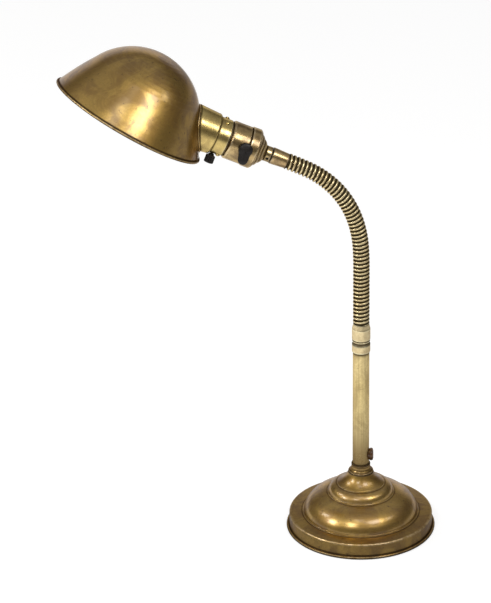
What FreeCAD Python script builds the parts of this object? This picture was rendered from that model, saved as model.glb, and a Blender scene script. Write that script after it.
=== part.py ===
"""Brass gooseneck desk lamp with a half-bowl shade on a switched bayonet lampholder.

Millimetres, +Z up. The origin is the centre of the round foot where it meets the table.
The neck bends in the XZ plane, over towards -X, and the switch lever faces -Y.
"""
import FreeCAD, Part
import math
import os
from FreeCAD import Placement, Rotation, Vector

os.makedirs("parts", exist_ok=True)

# Foot: a spun shell over an iron weight
FOOT_R = 68.6
LIP_R = 1.3
LIP_TOP = 15.4
DOME_FOOT_R = 55.6
SHELL_WALL = 0.9
SHELL_TOP_Z = 59.4
PAD_T = 1.2
PAD_R = 66.0
PLATE_T = 1.0
WEIGHT_R = 64.5
NUT_R = 13.0
NUT_FOOT_Z = 3.0
NUT_T = 5.0
QUARTER_BOW = 1 - math.cos(math.pi / 4)
DOME_FLAT_R = 0.4

# Stem
STEM_R = 7.94
STEM_BORE_R = 6.9
STEM_FOOT_Z = 3.4
STEM_TOP_Z = 196.0
COLLAR_TOP_Z = 68.3
BUSH_Z = 77.1
BUSH_R = 6.1
BUSH_BORE_R = 2.75
BUSH_STANDS_OUT = 4.1
COUPLING_FOOT_Z = 188.6
COUPLING_TOP_Z = 197.4
COUPLING_R = 8.8
NECK_FOOT_Z = 219.2

# Gooseneck: ten lengths of ribbed hose, each hinged to the next in the gap between two ribs
RIB_PITCH = 4.02
RIBS_PER_LENGTH = 5
RIB_R = 8.0
RIB_ROOT_R = 6.6
RIB_CREST_W = 1.3
RIB_ROOT_W = 2.1
NECK_BORE_R = 4.0
BALL_R = 5.6
CUP_R = 5.9
BALL_CUT = 3.5
END_GAP = 1.0
BALL_SUNK = 0.4
LENGTH_TURNS = (0, 0, 0, 4.0, 9.3, 11.1, 12.9, 12.9, 13.1, 3.55)

# Lampholder, along its own axis from the joint between the neck's top ferrule and the cap
HEAD_FERRULE_L = 16.6
CAP_NECK_R = 7.5
CAP_NECK_TOP = 6.0
NIPPLE_R = 5.4
NIPPLE_TOP = 10.5
GRUB_AZIMUTH = -14.0
GRUB_AT = 3.4
CAP_RING_FROM = 16.5
CAP_RING_R = 19.4
BODY_FROM = 24.8
BODY_TO = 44.6
BODY_R = 18.6
RIM_SLOT_FROM = 28.0
RIM_SLOT_SWEEP = 72.0
RIM_SLOT_W = 1.3
HOLDER_WALL = 0.8
SKIRT_R = 16.4
SKIRT_TO = 66.0
LEVER_AT = 27.9
LEVER_AZIMUTH = 13.0
LEVER_BOSS_R = 6.9
LEVER_TAIL_L = 14.0
LEVER_TAIL_R = 3.6
LEVER_BACK_R = 19.9
SPINDLE_COLLAR_R = 2.6
SPINDLE_TANG_R = 1.6
BLOCK_FROM = 34.0
BLOCK_TO = 47.0
BLOCK_R = 15.2
BARREL_R = 12.1
BARREL_BORE_R = 11.15
BARREL_TO = 74.0
SEAT_Z = 54.2
PLUNGER_OFFSET = 3.9
PLUNGER_HEAD_R = 3.0
PLUNGER_NOSE_R = 2.3
PLUNGER_STOP = 46.0

# Shade carrier: a ring and a drum that turn on the lampholder's skirt
RING_FROM = 45.4
RING_R = 17.8
RING_BORE_R = 16.46
DRUM_FROM = 56.8
DRUM_R = 19.9
DRUM_FLARE = 0.084
CARRIER_WALL = 0.9
FLANGE_R = 23.0
FLANGE_T = 1.2
CARRIER_SCREWS = ((75.0, 51.1), (118.0, 51.1), (-54.0, 48.6))
THUMB_AT = 53.2
THUMB_AZIMUTH = -72.0
THUMB_SHANK_R = 1.6
THUMB_HEAD_R = 4.6
KNURLS = 14
KNURL_R = 0.75

# Shade: half bowl of revolution, its own frame at the middle of the mouth
SHADE_MOUTH_R = 75.8
SHADE_CROWN_R = 64.0
SHADE_DEPTH = 71.2
SHADE_WALL = 0.8
SHADE_BEAD_R = 1.4
SHADE_SLOPE = 62.0
SHADE_HOLE_R = 17.2
SHADE_ALONG = 136.3
SHADE_BACK = -17.7
SHADE_AXIS = Vector(0.4973, 0.2239, 0.8383)


def arc_middle(a, b, bulge):
    """Point half way from a to b, moved to the left of the run by bulge."""
    run = b - a
    return (a + b) * 0.5 + Vector(-run.z, 0, run.x).normalize() * bulge


def outline(stations):
    """Closed wire in the XZ plane through (radius, height) or (radius, height, bulge of the run there)."""
    points = [Vector(s[0], 0, s[1]) for s in stations]
    edges = []
    for i, station in enumerate(stations):
        a, b = points[i - 1], points[i]
        if (b - a).Length < 1e-6:
            continue
        if len(station) == 3:
            edges.append(Part.Arc(a, arc_middle(a, b, station[2]), b).toShape())
        else:
            edges.append(Part.LineSegment(a, b).toShape())
    return Part.Wire(Part.__sortEdges__(edges))


def crown(radius, low, high):
    """Stations of a domed end begun at a radius and height, with a small flat at its middle."""
    rise = high - low
    sphere = (radius**2 + rise**2) / (2 * rise)
    chord = math.hypot(radius - DOME_FLAT_R, rise)
    return (DOME_FLAT_R, high, math.sqrt(sphere**2 - chord**2 / 4) - sphere), (0, high)


def turned(stations, frame=Placement(), sweep=360):
    """Solid turned about Z from a half section, then set in its frame."""
    face = Part.Face(outline(stations))
    return placed(face.revolve(Vector(0, 0, 0), Vector(0, 0, 1), sweep), frame)


def placed(shape, frame):
    """The shape moved from its own frame into the lamp's."""
    moved = shape.copy()
    moved.Placement = frame
    return moved


def ring(r_out, r_in, low, high):
    """Plain tube between two heights."""
    return turned([(r_in, low), (r_out, low), (r_out, high), (r_in, high)])


def rod(radius, start, direction, length):
    """Round bar from a point along a direction."""
    return Part.makeCylinder(radius, length, start, direction)


def frame_at(origin, z_axis, x_axis):
    """Placement whose Z and X lie along the given directions."""
    z = Vector(z_axis).normalize()
    x = (x_axis - z * x_axis.dot(z)).normalize()
    return Placement(origin, Rotation(x, z.cross(x), z, "ZXY"))


def on_axis(frame, height):
    """Point on a frame's Z axis at a height."""
    return frame.multVec(Vector(0, 0, height))


def axis_of(frame):
    """Direction of a frame's Z axis."""
    return frame.Rotation.multVec(Vector(0, 0, 1))


def save(name, shape):
    """Write one sub-part and print what was made."""
    shape = shape.removeSplitter() if shape.ShapeType != "Compound" else shape
    if not shape.isValid() or shape.Volume <= 0:
        raise ValueError(name + " is not a sound solid")
    shape.exportStep("parts/" + name + ".step")
    box = shape.BoundBox
    print("%-18s %d solid(s) %9.0f mm3  x %.1f..%.1f  y %.1f..%.1f  z %.1f..%.1f" % (
        name, len(shape.Solids), shape.Volume, box.XMin, box.XMax, box.YMin, box.YMax, box.ZMin, box.ZMax))


# Foot
def base_shell():
    """Spun brass shell: rolled lip, flange wall, dome, second bulge and cove up to the stem."""
    w = SHELL_WALL
    lip_z = LIP_R + 0.2
    lip_bow = QUARTER_BOW * LIP_R
    outside = [
        (8.2, SHELL_TOP_Z), (12.0, SHELL_TOP_Z), (22.5, 46.9, -1.6), (31.4, 37.9, 1.0), (31.8, 37.2),
        (DOME_FOOT_R - 0.7, 17.0, 6.0), (DOME_FOOT_R, 16.2), (FOOT_R - 1.2, LIP_TOP),
        (FOOT_R, LIP_TOP - 1.2, 0.35),
        (FOOT_R, lip_z + 1.6 * LIP_R), (FOOT_R + LIP_R, lip_z + LIP_R), (FOOT_R + 2 * LIP_R, lip_z, lip_bow),
        (FOOT_R + LIP_R, lip_z - LIP_R, lip_bow), (FOOT_R - w, lip_z - LIP_R),
    ]
    inside = [
        (FOOT_R - w, LIP_TOP - 1.3), (FOOT_R - 1.6, LIP_TOP - w), (DOME_FOOT_R - 1.0, 16.2 - w),
        (DOME_FOOT_R - 1.5, 16.6), (31.2, 36.3, -5.8), (30.8, 37.2), (22.1, 46.0, -1.0),
        (11.6, SHELL_TOP_Z - w, 1.6), (8.2, SHELL_TOP_Z - w),
    ]
    return turned(outside + inside)


def base_weight():
    """Cast iron weight under the shell, hollow underneath for the nut."""
    return turned([
        (8.3, 9.4), (15.0, 9.4), (17.0, 2.4), (WEIGHT_R, 2.4), (WEIGHT_R, 12.6), (WEIGHT_R - 1.9, 14.5),
        (53.2, 14.5), (52.4, 17.0), (44.0, 26.2, 1.2), (30.0, 31.0), (8.3, 31.0),
    ])


def base_nut():
    """Hexagon nut on the threaded foot of the stem."""
    turns = [math.radians(60 * i) for i in range(7)]
    corners = [Vector(NUT_R * math.cos(t), NUT_R * math.sin(t), NUT_FOOT_Z) for t in turns]
    prism = Part.Face(Part.makePolygon(corners)).extrude(Vector(0, 0, NUT_T))
    low, high = NUT_FOOT_Z, NUT_FOOT_Z + NUT_T
    bevels = turned([(0, low), (11.6, low), (13.2, low + 0.9), (13.2, high - 0.9), (11.6, high), (0, high)])
    return prism.common(bevels).cut(rod(STEM_R, Vector(0, 0, low - 1), Vector(0, 0, 1), NUT_T + 2))


def stem_tube():
    """Straight brass tube with the hole that the cord bush sits in."""
    tube = ring(STEM_R, STEM_BORE_R, STEM_FOOT_Z, STEM_TOP_Z)
    return tube.cut(rod(4.2, Vector(0, 0, BUSH_Z), Vector(1, 0, 0), 12))


def stem_collar():
    """Turned collar that stands on the shell and holds the stem upright."""
    foot, top = SHELL_TOP_Z, COLLAR_TOP_Z
    return turned([
        (STEM_R, foot), (11.5, foot), (11.9, foot + 0.5), (11.8, foot + 1.1), (10.0, foot + 2.6, 0.3),
        (9.1, foot + 5.2), (8.75, top - 2.1), (9.05, top - 1.8), (9.1, top - 0.5), (8.7, top), (STEM_R, top),
    ])


def cord_bush():
    """Domed moulded bush for the cord, in the side of the stem."""
    face = STEM_R + BUSH_STANDS_OUT
    frame = frame_at(Vector(0, 0, BUSH_Z), Vector(1, 0, 0), Vector(0, 0, 1))
    bush = turned([
        (BUSH_BORE_R, STEM_R + 0.2), (BUSH_BORE_R + 0.6, STEM_R - 0.4), (BUSH_BORE_R + 0.6, 5.0),
        (4.1, 5.0), (4.1, STEM_R - 0.4), (BUSH_R - 1.0, STEM_R - 0.4), (BUSH_R - 0.3, STEM_R + 0.6),
        (BUSH_R, STEM_R + 1.5),
        (BUSH_R, face - 1.6), (BUSH_R - 1.2, face - 0.4, -0.3), (BUSH_BORE_R + 0.8, face),
        (BUSH_BORE_R, face - 0.8),
    ], frame)
    return bush.cut(rod(STEM_R, Vector(0, 0, BUSH_Z - 12), Vector(0, 0, 1), 24).cut(
        rod(4.1, Vector(0, 0, BUSH_Z), Vector(1, 0, 0), 12)))


def stem_coupling():
    """Collar brazed on the top of the stem that takes the neck's foot."""
    top, foot, r = COUPLING_TOP_Z, COUPLING_FOOT_Z, COUPLING_R
    return turned([
        (STEM_R, foot), (r - 0.5, foot), (r, foot + 0.6), (r, top - 0.5), (r - 0.4, top), (STEM_R, top),
    ])


def neck_foot():
    """Lower ferrule of the gooseneck: spigot, two beads, barrel and shoulder, with the first ball on top."""
    top = NECK_FOOT_Z
    hinge = top + END_GAP
    body = turned([
        (NECK_BORE_R, STEM_TOP_Z), (STEM_R - 0.04, STEM_TOP_Z), (STEM_R - 0.04, COUPLING_TOP_Z),
        (8.15, COUPLING_TOP_Z),
        (8.15, 199.8), (8.6, 200.2), (8.6, 200.9), (8.25, 201.2), (8.25, 201.9), (8.86, 202.5), (8.86, 213.0),
        (8.5, 214.3), (7.5, top), (NECK_BORE_R, top),
    ])
    return body.fuse(ball(Placement(Vector(0, 0, hinge), Rotation()))).cut(
        rod(NECK_BORE_R, Vector(0, 0, STEM_TOP_Z - 1), Vector(0, 0, 1), 40))


# Gooseneck
def neck_frames():
    """Frames at the eleven hinges of the neck, Z along it and X square to it in the plane of the bend."""
    point, lean = Vector(0, 0, NECK_FOOT_Z + END_GAP), 0.0
    frames = [leaning(point, lean)]
    for turn in LENGTH_TURNS:
        point = along_arc(frames[-1], turn, 1.0)
        lean += turn
        frames.append(leaning(point, lean))
    return frames


def leaning(point, lean):
    """Frame at a point of the neck whose Z leans from upright towards -X by an angle."""
    return Placement(point, Rotation(Vector(0, -1, 0), lean))


def along_arc(start, turn, share):
    """Point at a share of one length of neck that turns by an angle from its start frame."""
    length = RIB_PITCH * RIBS_PER_LENGTH
    if abs(turn) < 1e-6:
        return on_axis(start, length * share)
    angle = math.radians(turn)
    radius = length / angle
    swept = angle * share
    return start.multVec(Vector(-radius * (1 - math.cos(swept)), 0, radius * math.sin(swept)))


def ball(frame):
    """Hollow ball that carries the next length of the neck, round its hinge."""
    foot = -END_GAP - BALL_SUNK
    slab = Part.makeCylinder(BALL_R + 1, BALL_CUT - foot, Vector(0, 0, foot))
    return placed(Part.makeSphere(BALL_R).common(slab), frame)


def cup_cut(frame):
    """Hollow that clears the ball of the length below."""
    return Part.makeSphere(CUP_R, frame.Base)


def circle_at(start, turn, share, lean, radius):
    """Circle square to the neck at a share of one length, started on its X axis."""
    here = leaning(along_arc(start, turn, share), lean + turn * share)
    circle = Part.makeCircle(radius)
    circle.Placement = here
    return Part.Wire(circle)


def neck_length(start, turn, lean):
    """One length of the ribbed hose: a ruled loft through four circles a rib, a bore, a cup and a ball."""
    length = RIB_PITCH * RIBS_PER_LENGTH
    wires = []
    for rib in range(RIBS_PER_LENGTH):
        middle = (rib + 0.5) * RIB_PITCH
        for offset, radius in ((-RIB_ROOT_W / 2, RIB_ROOT_R), (-RIB_CREST_W / 2, RIB_R),
                               (RIB_CREST_W / 2, RIB_R), (RIB_ROOT_W / 2, RIB_ROOT_R)):
            wires.append(circle_at(start, turn, (middle + offset) / length, lean, radius))
    hose = Part.makeLoft(wires, True, True)
    end = leaning(along_arc(start, turn, 1.0), lean + turn)
    hose = hose.cut(cup_cut(start)).fuse(ball(end))
    stops = (-0.1, 0.25, 0.5, 0.75, 1.3)
    bore = Part.makeLoft([circle_at(start, turn, share, lean, NECK_BORE_R) for share in stops], True, True)
    return hose.cut(bore)


def neck_head(end, holder):
    """Upper ferrule of the gooseneck, tapered, with its cup and the nipple that the cap screws on."""
    low = -HEAD_FERRULE_L
    body = turned([
        (0, low), (7.1, low), (7.25, low + 0.5), (7.9, -4.2), (8.0, -1.2), (7.7, -0.35),
        (NIPPLE_R, -0.35),
        (NIPPLE_R, NIPPLE_TOP), (0, NIPPLE_TOP),
    ], holder)
    bore = rod(NECK_BORE_R, on_axis(holder, low - 4), axis_of(holder), 40)
    return body.cut(cup_cut(end)).cut(bore)


# Lampholder
def holder_cap(frame):
    """Spun cap: threaded neck, shoulder with turned steps, and the ring that screws on the body."""
    w = HOLDER_WALL
    a, b = CAP_NECK_TOP, CAP_RING_FROM
    cap = turned([
        (NIPPLE_R + 0.05, 0.35), (CAP_NECK_R - 0.2, 0.35), (CAP_NECK_R, 0.7), (CAP_NECK_R, a), (8.5, a + 1.1),
        (11.9, a + 4.3, -0.35), (12.1, a + 4.9), (15.5, a + 7.7, -0.45), (15.8, a + 8.3),
        (CAP_RING_R - 0.6, b - 0.3, -0.4), (CAP_RING_R, b + 0.6), (CAP_RING_R, BODY_FROM - 0.4),
        (CAP_RING_R - 0.4, BODY_FROM),
        (BODY_R - w, BODY_FROM), (BODY_R - w, b + 1.0), (14.9, a + 8.8), (11.4, a + 6.0), (8.0, a + 2.6),
        (NIPPLE_R + 0.05, a + 2.6),
    ], frame)
    start = frame.multVec(polar(NIPPLE_R - 0.4, GRUB_AZIMUTH, GRUB_AT))
    return cap.cut(rod(1.55, start, frame.Rotation.multVec(polar(1, GRUB_AZIMUTH, 0)), 8))


def grub_screw(frame):
    """Slotted grub screw sunk in the cap's neck."""
    start = frame.multVec(polar(NIPPLE_R + 0.1, GRUB_AZIMUTH, GRUB_AT))
    return rod(1.5, start, frame.Rotation.multVec(polar(1, GRUB_AZIMUTH, 0)), 1.2)


def polar(radius, azimuth, height):
    """Point of the lampholder's frame by radius, angle from the front towards the top, and height."""
    angle = math.radians(azimuth)
    return Vector(radius * math.cos(angle), radius * math.sin(angle), height)


def across(azimuth, height, frame):
    """Frame on the lampholder's axis whose Z points out at an azimuth and whose X points to the shade."""
    origin = on_axis(frame, height)
    out = frame.Rotation.multVec(polar(1, azimuth, 0))
    return frame_at(origin, out, axis_of(frame))


def holder_body(frame):
    """Switch body: drum with a rounded shoulder drawn in to the skirt, the spindle hole and the rim slot."""
    w = HOLDER_WALL
    drum = turned([
        (BODY_R - 2 * w, BODY_FROM - 5.0), (BODY_R - w - 0.04, BODY_FROM - 5.0),
        (BODY_R - w - 0.04, BODY_FROM + 0.3),
        (BODY_R, BODY_FROM + 0.6), (BODY_R, BODY_TO - 3.6), (SKIRT_R + 0.4, BODY_TO - 0.5, -0.75),
        (SKIRT_R + 0.5, BODY_TO + 0.5), (SKIRT_R, BODY_TO + 0.7), (SKIRT_R, BODY_TO - 0.9),
        (BODY_R - 2 * w, BODY_TO - 3.4, 0.5),
    ], frame)
    side = across(LEVER_AZIMUTH, LEVER_AT, frame)
    drum = drum.cut(rod(SPINDLE_COLLAR_R + 0.1, side.Base, axis_of(side), 30))
    start = frame.multiply(Placement(Vector(), Rotation(Vector(0, 0, 1), RIM_SLOT_FROM)))
    low, high = BODY_FROM + 0.2, BODY_FROM + 0.2 + RIM_SLOT_W
    slot = turned([
        (BODY_R - w, low), (BODY_R + 1, low), (BODY_R + 1, high), (BODY_R - w, high),
    ], start, RIM_SLOT_SWEEP)
    return drum.cut(slot)


def holder_skirt(frame):
    """Plain skirt brazed in the body's mouth, which carries the barrel inside and the shade outside."""
    return placed(ring(SKIRT_R, SKIRT_R - HOLDER_WALL, BODY_TO - 0.9, SKIRT_TO), frame)


def holder_barrel(frame):
    """Bayonet barrel with its two hooked slots for the lamp's pins."""
    barrel = turned([
        (BARREL_BORE_R, SEAT_Z), (BARREL_BORE_R - 0.25, SEAT_Z), (BARREL_BORE_R - 0.25, BLOCK_TO),
        (SKIRT_R - HOLDER_WALL, BLOCK_TO), (SKIRT_R - HOLDER_WALL, BLOCK_TO + 1.0),
        (BARREL_R, BLOCK_TO + 1.4), (BARREL_R, BARREL_TO - 1.4), (BARREL_R + 0.7, BARREL_TO - 0.8),
        (BARREL_R + 0.7, BARREL_TO - 0.2), (BARREL_R + 0.3, BARREL_TO), (BARREL_BORE_R, BARREL_TO),
    ], frame)
    for azimuth in (0, 180):
        slot = across(azimuth, 0, frame)
        run = Part.makeBox(14.0, 2.6, 20, Vector(BARREL_TO - 12.0, -1.3, 5))
        hook = Part.makeBox(2.6, 5.4, 20, Vector(BARREL_TO - 12.0, -1.3, 5))
        catch = Part.makeBox(4.2, 2.6, 20, Vector(BARREL_TO - 12.0, 1.5, 5))
        barrel = barrel.cut(placed(run.fuse(hook).fuse(catch), slot))
    return barrel


def contact_block(frame):
    """Moulded block that carries the contacts, with bores for the two plungers and a way for the wires."""
    block = turned([
        (0, BLOCK_FROM), (BLOCK_R - 1.0, BLOCK_FROM), (BLOCK_R, BLOCK_FROM + 1.0), (BLOCK_R, BLOCK_TO - 0.1),
        (BARREL_BORE_R - 0.3, BLOCK_TO - 0.1), (BARREL_BORE_R - 0.3, BLOCK_TO + 3.0), (0, BLOCK_TO + 3.0),
    ], frame)
    axis = axis_of(frame)
    for side in (-1, 1):
        start = frame.multVec(Vector(0, side * PLUNGER_OFFSET, BLOCK_FROM + 3.0))
        block = block.cut(rod(PLUNGER_HEAD_R + 0.05, start, axis, PLUNGER_STOP - BLOCK_FROM - 3.0))
        block = block.cut(rod(PLUNGER_NOSE_R + 0.05, start, axis, 30))
    wire_way = rod(2.2, frame.multVec(Vector(-9.5, 0, BLOCK_FROM - 1)), axis, 30)
    return block.cut(wire_way)


def plunger(frame, side):
    """Sprung contact plunger with a round nose and a head that keeps it in its bore."""
    head = PLUNGER_STOP - 0.1
    nose = BLOCK_TO + 6.4
    spot = Placement(frame.multVec(Vector(0, side * PLUNGER_OFFSET, 0)), frame.Rotation)
    return turned([
        (0, head - 2.8), (PLUNGER_HEAD_R, head - 2.8), (PLUNGER_HEAD_R, head), (PLUNGER_NOSE_R, head),
        (PLUNGER_NOSE_R, nose - 1.8), *crown(PLUNGER_NOSE_R, nose - 1.8, nose),
    ], spot)


def terminal_screws(frame):
    """Two cheese-head screws on the back of the block that pinch the wires."""
    made = []
    for side in (-1, 1):
        spot = Placement(frame.multVec(Vector(3.0, side * 8.6, 0)), frame.Rotation)
        screw = turned([
            (0, BLOCK_FROM), (2.0, BLOCK_FROM), (2.0, BLOCK_FROM - 1.5), (1.7, BLOCK_FROM - 1.9),
            (0, BLOCK_FROM - 1.9),
        ], spot)
        groove = Part.makeBox(6, 0.6, 0.8, Vector(-3, -0.3, BLOCK_FROM - 2.2))
        made.append(screw.cut(placed(groove, spot)))
    return Part.makeCompound(made)


def switch_lever(frame):
    """Moulded lever: domed round boss and a tapering tail that follows the body round."""
    side = across(LEVER_AZIMUTH, LEVER_AT, frame)
    low = LEVER_BACK_R
    rim = low + 1.6
    boss = turned([
        (0, low), (LEVER_BOSS_R - 0.4, low), (LEVER_BOSS_R, low + 0.5), (LEVER_BOSS_R, rim),
        *crown(LEVER_BOSS_R, rim, low + 3.9),
    ])
    end = Vector(-1.2, LEVER_TAIL_L - LEVER_TAIL_R, 0)
    toe = turned([
        (0, low), (LEVER_TAIL_R - 0.4, low), (LEVER_TAIL_R, low + 0.4), (LEVER_TAIL_R, rim),
        *crown(LEVER_TAIL_R, rim, low + 3.0),
    ], Placement(end, Rotation()))
    shank = [
        Vector(-4.2, 1.5, low), Vector(3.6, 3.5, low), Vector(end.x + LEVER_TAIL_R, end.y, low),
        Vector(end.x - LEVER_TAIL_R, end.y, low), Vector(-4.2, 1.5, low),
    ]
    web = Part.Face(Part.makePolygon(shank)).extrude(Vector(0, 0, 2.3))
    socket = rod(SPINDLE_TANG_R, Vector(0, 0, 0), Vector(0, 0, 1), rim)
    return placed(boss.fuse(web).fuse(toe).cut(socket), side)


def switch_spindle(frame):
    """Brass spindle that the lever turns, with a flat-sided cam inside the body."""
    side = across(LEVER_AZIMUTH, LEVER_AT, frame)
    low, collar, tang = LEVER_BACK_R, SPINDLE_COLLAR_R, SPINDLE_TANG_R
    pin = turned([
        (0, 9.0), (2.3, 9.0), (2.3, 15.8), (collar, 15.8), (collar, low - 0.3), (3.4, low - 0.3), (3.4, low),
        (tang, low), (tang, low + 1.6), (0, low + 1.6),
    ])
    cam = turned([(0, 9.0), (4.0, 9.0), (4.0, 12.0), (0, 12.0)])
    flat = Part.makeBox(10, 10, 8, Vector(-5, 1.6, 7))
    return placed(pin.fuse(cam.cut(flat)), side)


# Shade and its carrier
def shade_profile(offset):
    """Half section of the shade's outer face moved outwards: mouth, nearly straight wall, round crown."""
    slope = math.radians(SHADE_SLOPE)
    radius = SHADE_CROWN_R + offset
    centre = SHADE_DEPTH - SHADE_CROWN_R
    knee = (radius * math.sin(slope), centre + radius * math.cos(slope))
    foot = (SHADE_MOUTH_R - 0.4 + offset * math.sin(slope), 0.8 + offset * math.cos(slope))
    top = (0.0, centre + radius)
    crown_bulge = radius * (1 - math.cos(slope / 2))
    return foot, knee, top, crown_bulge


def shade_shell(outer, inner):
    """Solid of revolution between two offsets of the shade's face."""
    foot_o, knee_o, top_o, bulge_o = shade_profile(outer)
    foot_i, knee_i, top_i, bulge_i = shade_profile(inner)
    return turned([
        foot_i, foot_o, (knee_o[0], knee_o[1], -0.7), (top_o[0], top_o[1], -bulge_o), top_i,
        (knee_i[0], knee_i[1], bulge_i), (foot_i[0], foot_i[1], 0.7),
    ])


def shade(frame, holder):
    """Spun half bowl with a rolled bead at its mouth and the hole for the lampholder in its wall."""
    bowl = shade_shell(0.0, -SHADE_WALL)
    bead = Part.makeTorus(SHADE_MOUTH_R, SHADE_BEAD_R)
    bowl = placed(bowl.fuse(bead), frame)
    return bowl.cut(holder_hole(holder))


def shade_flange(frame, holder):
    """Flange that hugs the shade's wall round the hole."""
    skin = placed(shade_shell(FLANGE_T, 0.0), frame)
    middle = wall_point(frame, holder)
    normal = wall_normal(frame)
    disc = rod(FLANGE_R, middle - normal * 12, normal, 24)
    return skin.common(disc).cut(holder_hole(holder))


def holder_hole(holder):
    """Bar along the lampholder's axis that opens the shade's wall for it."""
    return rod(SHADE_HOLE_R, on_axis(holder, DRUM_FROM), axis_of(holder), 36)


def wall_point(frame, holder):
    """Where the lampholder's axis meets the shade's wall."""
    start, end = (on_axis(holder, DRUM_FROM + run) for run in (0, 40))
    line = Part.LineSegment(start, end).toShape()
    inside = line.common(placed(shade_shell(0.0, -SHADE_WALL), frame))
    return sorted((v.Point for v in inside.Vertexes), key=lambda p: (p - holder.Base).Length)[0]


def wall_normal(frame):
    """Outward normal of the shade's straight wall on the side of the lampholder."""
    out = frame.Rotation.multVec(Vector(1, 0, 0))
    up = axis_of(frame)
    slope = math.radians(SHADE_SLOPE)
    return out * math.sin(slope) + up * math.cos(slope)


def gallery_drum(frame, holder):
    """Drum between the ring and the flange, with a round shoulder and an oblique seat on the flange."""
    w = CARRIER_WALL
    edge, far = DRUM_FROM + 2.6, DRUM_FROM + 32
    wide = DRUM_R + DRUM_FLARE * (far - edge)
    drum = turned([
        (RING_R - 0.1, DRUM_FROM), (RING_R + 0.1, DRUM_FROM), (DRUM_R, edge, -0.7), (wide, far),
        (wide - w, far), (DRUM_R - w, edge), (RING_R - 0.1, DRUM_FROM + 1.2, 0.4),
    ], holder)
    cut_back = placed(shade_shell(FLANGE_T, -40.0), frame)
    kept = drum.cut(cut_back)
    return sorted(kept.Solids, key=lambda s: (s.CenterOfMass - on_axis(holder, DRUM_FROM)).Length)[0]


def gallery_ring(holder):
    """Ring of the shade carrier that turns on the skirt, drilled for the thumb screw and the small screws."""
    body = turned([
        (RING_BORE_R, RING_FROM), (RING_R - 0.3, RING_FROM), (RING_R, RING_FROM + 0.4), (RING_R, DRUM_FROM),
        (RING_R - 0.1, DRUM_FROM), (RING_R - 0.1, DRUM_FROM + 1.2), (RING_BORE_R, DRUM_FROM + 1.2),
    ], holder)
    side = across(THUMB_AZIMUTH, THUMB_AT, holder)
    body = body.cut(rod(THUMB_SHANK_R + 0.05, side.Base, axis_of(side), 30))
    for azimuth, station in CARRIER_SCREWS:
        side = across(azimuth, station, holder)
        body = body.cut(rod(1.1, side.Base, axis_of(side), 30))
    return body


def gallery_screws(holder):
    """Small round-head screws in the ring."""
    made = []
    for azimuth, station in CARRIER_SCREWS:
        side = across(azimuth, station, holder)
        screw = turned([
            (0, RING_BORE_R + 0.3), (1.1, RING_BORE_R + 0.3), (1.1, RING_R), (2.1, RING_R),
            (2.1, RING_R + 0.5), *crown(2.1, RING_R + 0.5, RING_R + 1.5),
        ])
        groove = Part.makeBox(5, 0.5, 0.7, Vector(-2.5, -0.25, RING_R + 1.0))
        made.append(placed(screw.cut(groove), side))
    return Part.makeCompound(made)


def thumb_screw(holder):
    """Knurled moulded head on a short shank that pinches the carrier on the skirt."""
    side = across(THUMB_AZIMUTH, THUMB_AT, holder)
    tip = SKIRT_R + 0.35
    low, high = RING_R + 2.0, RING_R + 10.3
    head = turned([
        (0, tip), (THUMB_SHANK_R, tip), (THUMB_SHANK_R, RING_R + 0.6), (2.6, RING_R + 0.6), (2.9, low),
        (THUMB_HEAD_R - 0.3, low + 0.5), (THUMB_HEAD_R, low + 1.2), (THUMB_HEAD_R, high - 1.3),
        (THUMB_HEAD_R - 0.8, high - 0.4), *crown(THUMB_HEAD_R - 0.8, high - 0.4, high),
    ])
    for i in range(KNURLS):
        angle = math.radians(360.0 * i / KNURLS)
        spot = Vector(math.cos(angle), math.sin(angle), 0) * (THUMB_HEAD_R + 0.4) + Vector(0, 0, low - 1)
        head = head.cut(rod(KNURL_R, spot, Vector(0, 0, 1), 12))
    return placed(head, side)


def build():
    """Make every sub-part and write it."""
    save("baize_pad", rod(PAD_R, Vector(0, 0, 0), Vector(0, 0, 1), PAD_T))
    save("base_plate", ring(PAD_R, 20.0, PAD_T, PAD_T + PLATE_T))
    save("base_weight", base_weight())
    save("base_shell", base_shell())
    save("base_washer", ring(13.6, STEM_R + 0.1, 8.0, 9.4))
    save("base_nut", base_nut())
    save("stem_collar", stem_collar())
    save("stem_tube", stem_tube())
    save("cord_bush", cord_bush())
    save("stem_coupling", stem_coupling())
    save("neck_foot", neck_foot())

    hinges = neck_frames()
    lean = 0.0
    for i, turn in enumerate(LENGTH_TURNS):
        save("neck_length_%02d" % (i + 1), neck_length(hinges[i], turn, lean))
        lean += turn
    end = hinges[-1]
    up_neck = axis_of(end)
    joint = end.Base + up_neck * (END_GAP + HEAD_FERRULE_L)
    holder = frame_at(joint, up_neck, Vector(0, -1, 0))
    print("holder joint", joint, "axis", up_neck)
    save("neck_head", neck_head(end, holder))
    save("holder_cap", holder_cap(holder))
    save("cap_grub_screw", grub_screw(holder))
    save("holder_body", holder_body(holder))
    save("holder_skirt", holder_skirt(holder))
    save("holder_barrel", holder_barrel(holder))
    save("contact_block", contact_block(holder))
    save("terminal_screws", terminal_screws(holder))
    save("plunger_upper", plunger(holder, 1))
    save("plunger_lower", plunger(holder, -1))
    save("switch_spindle", switch_spindle(holder))
    save("switch_lever", switch_lever(holder))

    back = Vector(SHADE_AXIS).normalize()
    mouth = on_axis(holder, SHADE_ALONG) + back * SHADE_BACK
    bowl = frame_at(mouth, back, up_neck * -1)
    save("gallery_ring", gallery_ring(holder))
    save("gallery_screws", gallery_screws(holder))
    save("thumb_screw", thumb_screw(holder))
    save("gallery_drum", gallery_drum(bowl, holder))
    save("shade_flange", shade_flange(bowl, holder))
    save("shade", shade(bowl, holder))
    print("wall point", wall_point(bowl, holder), "mouth", mouth)


build()
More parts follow.
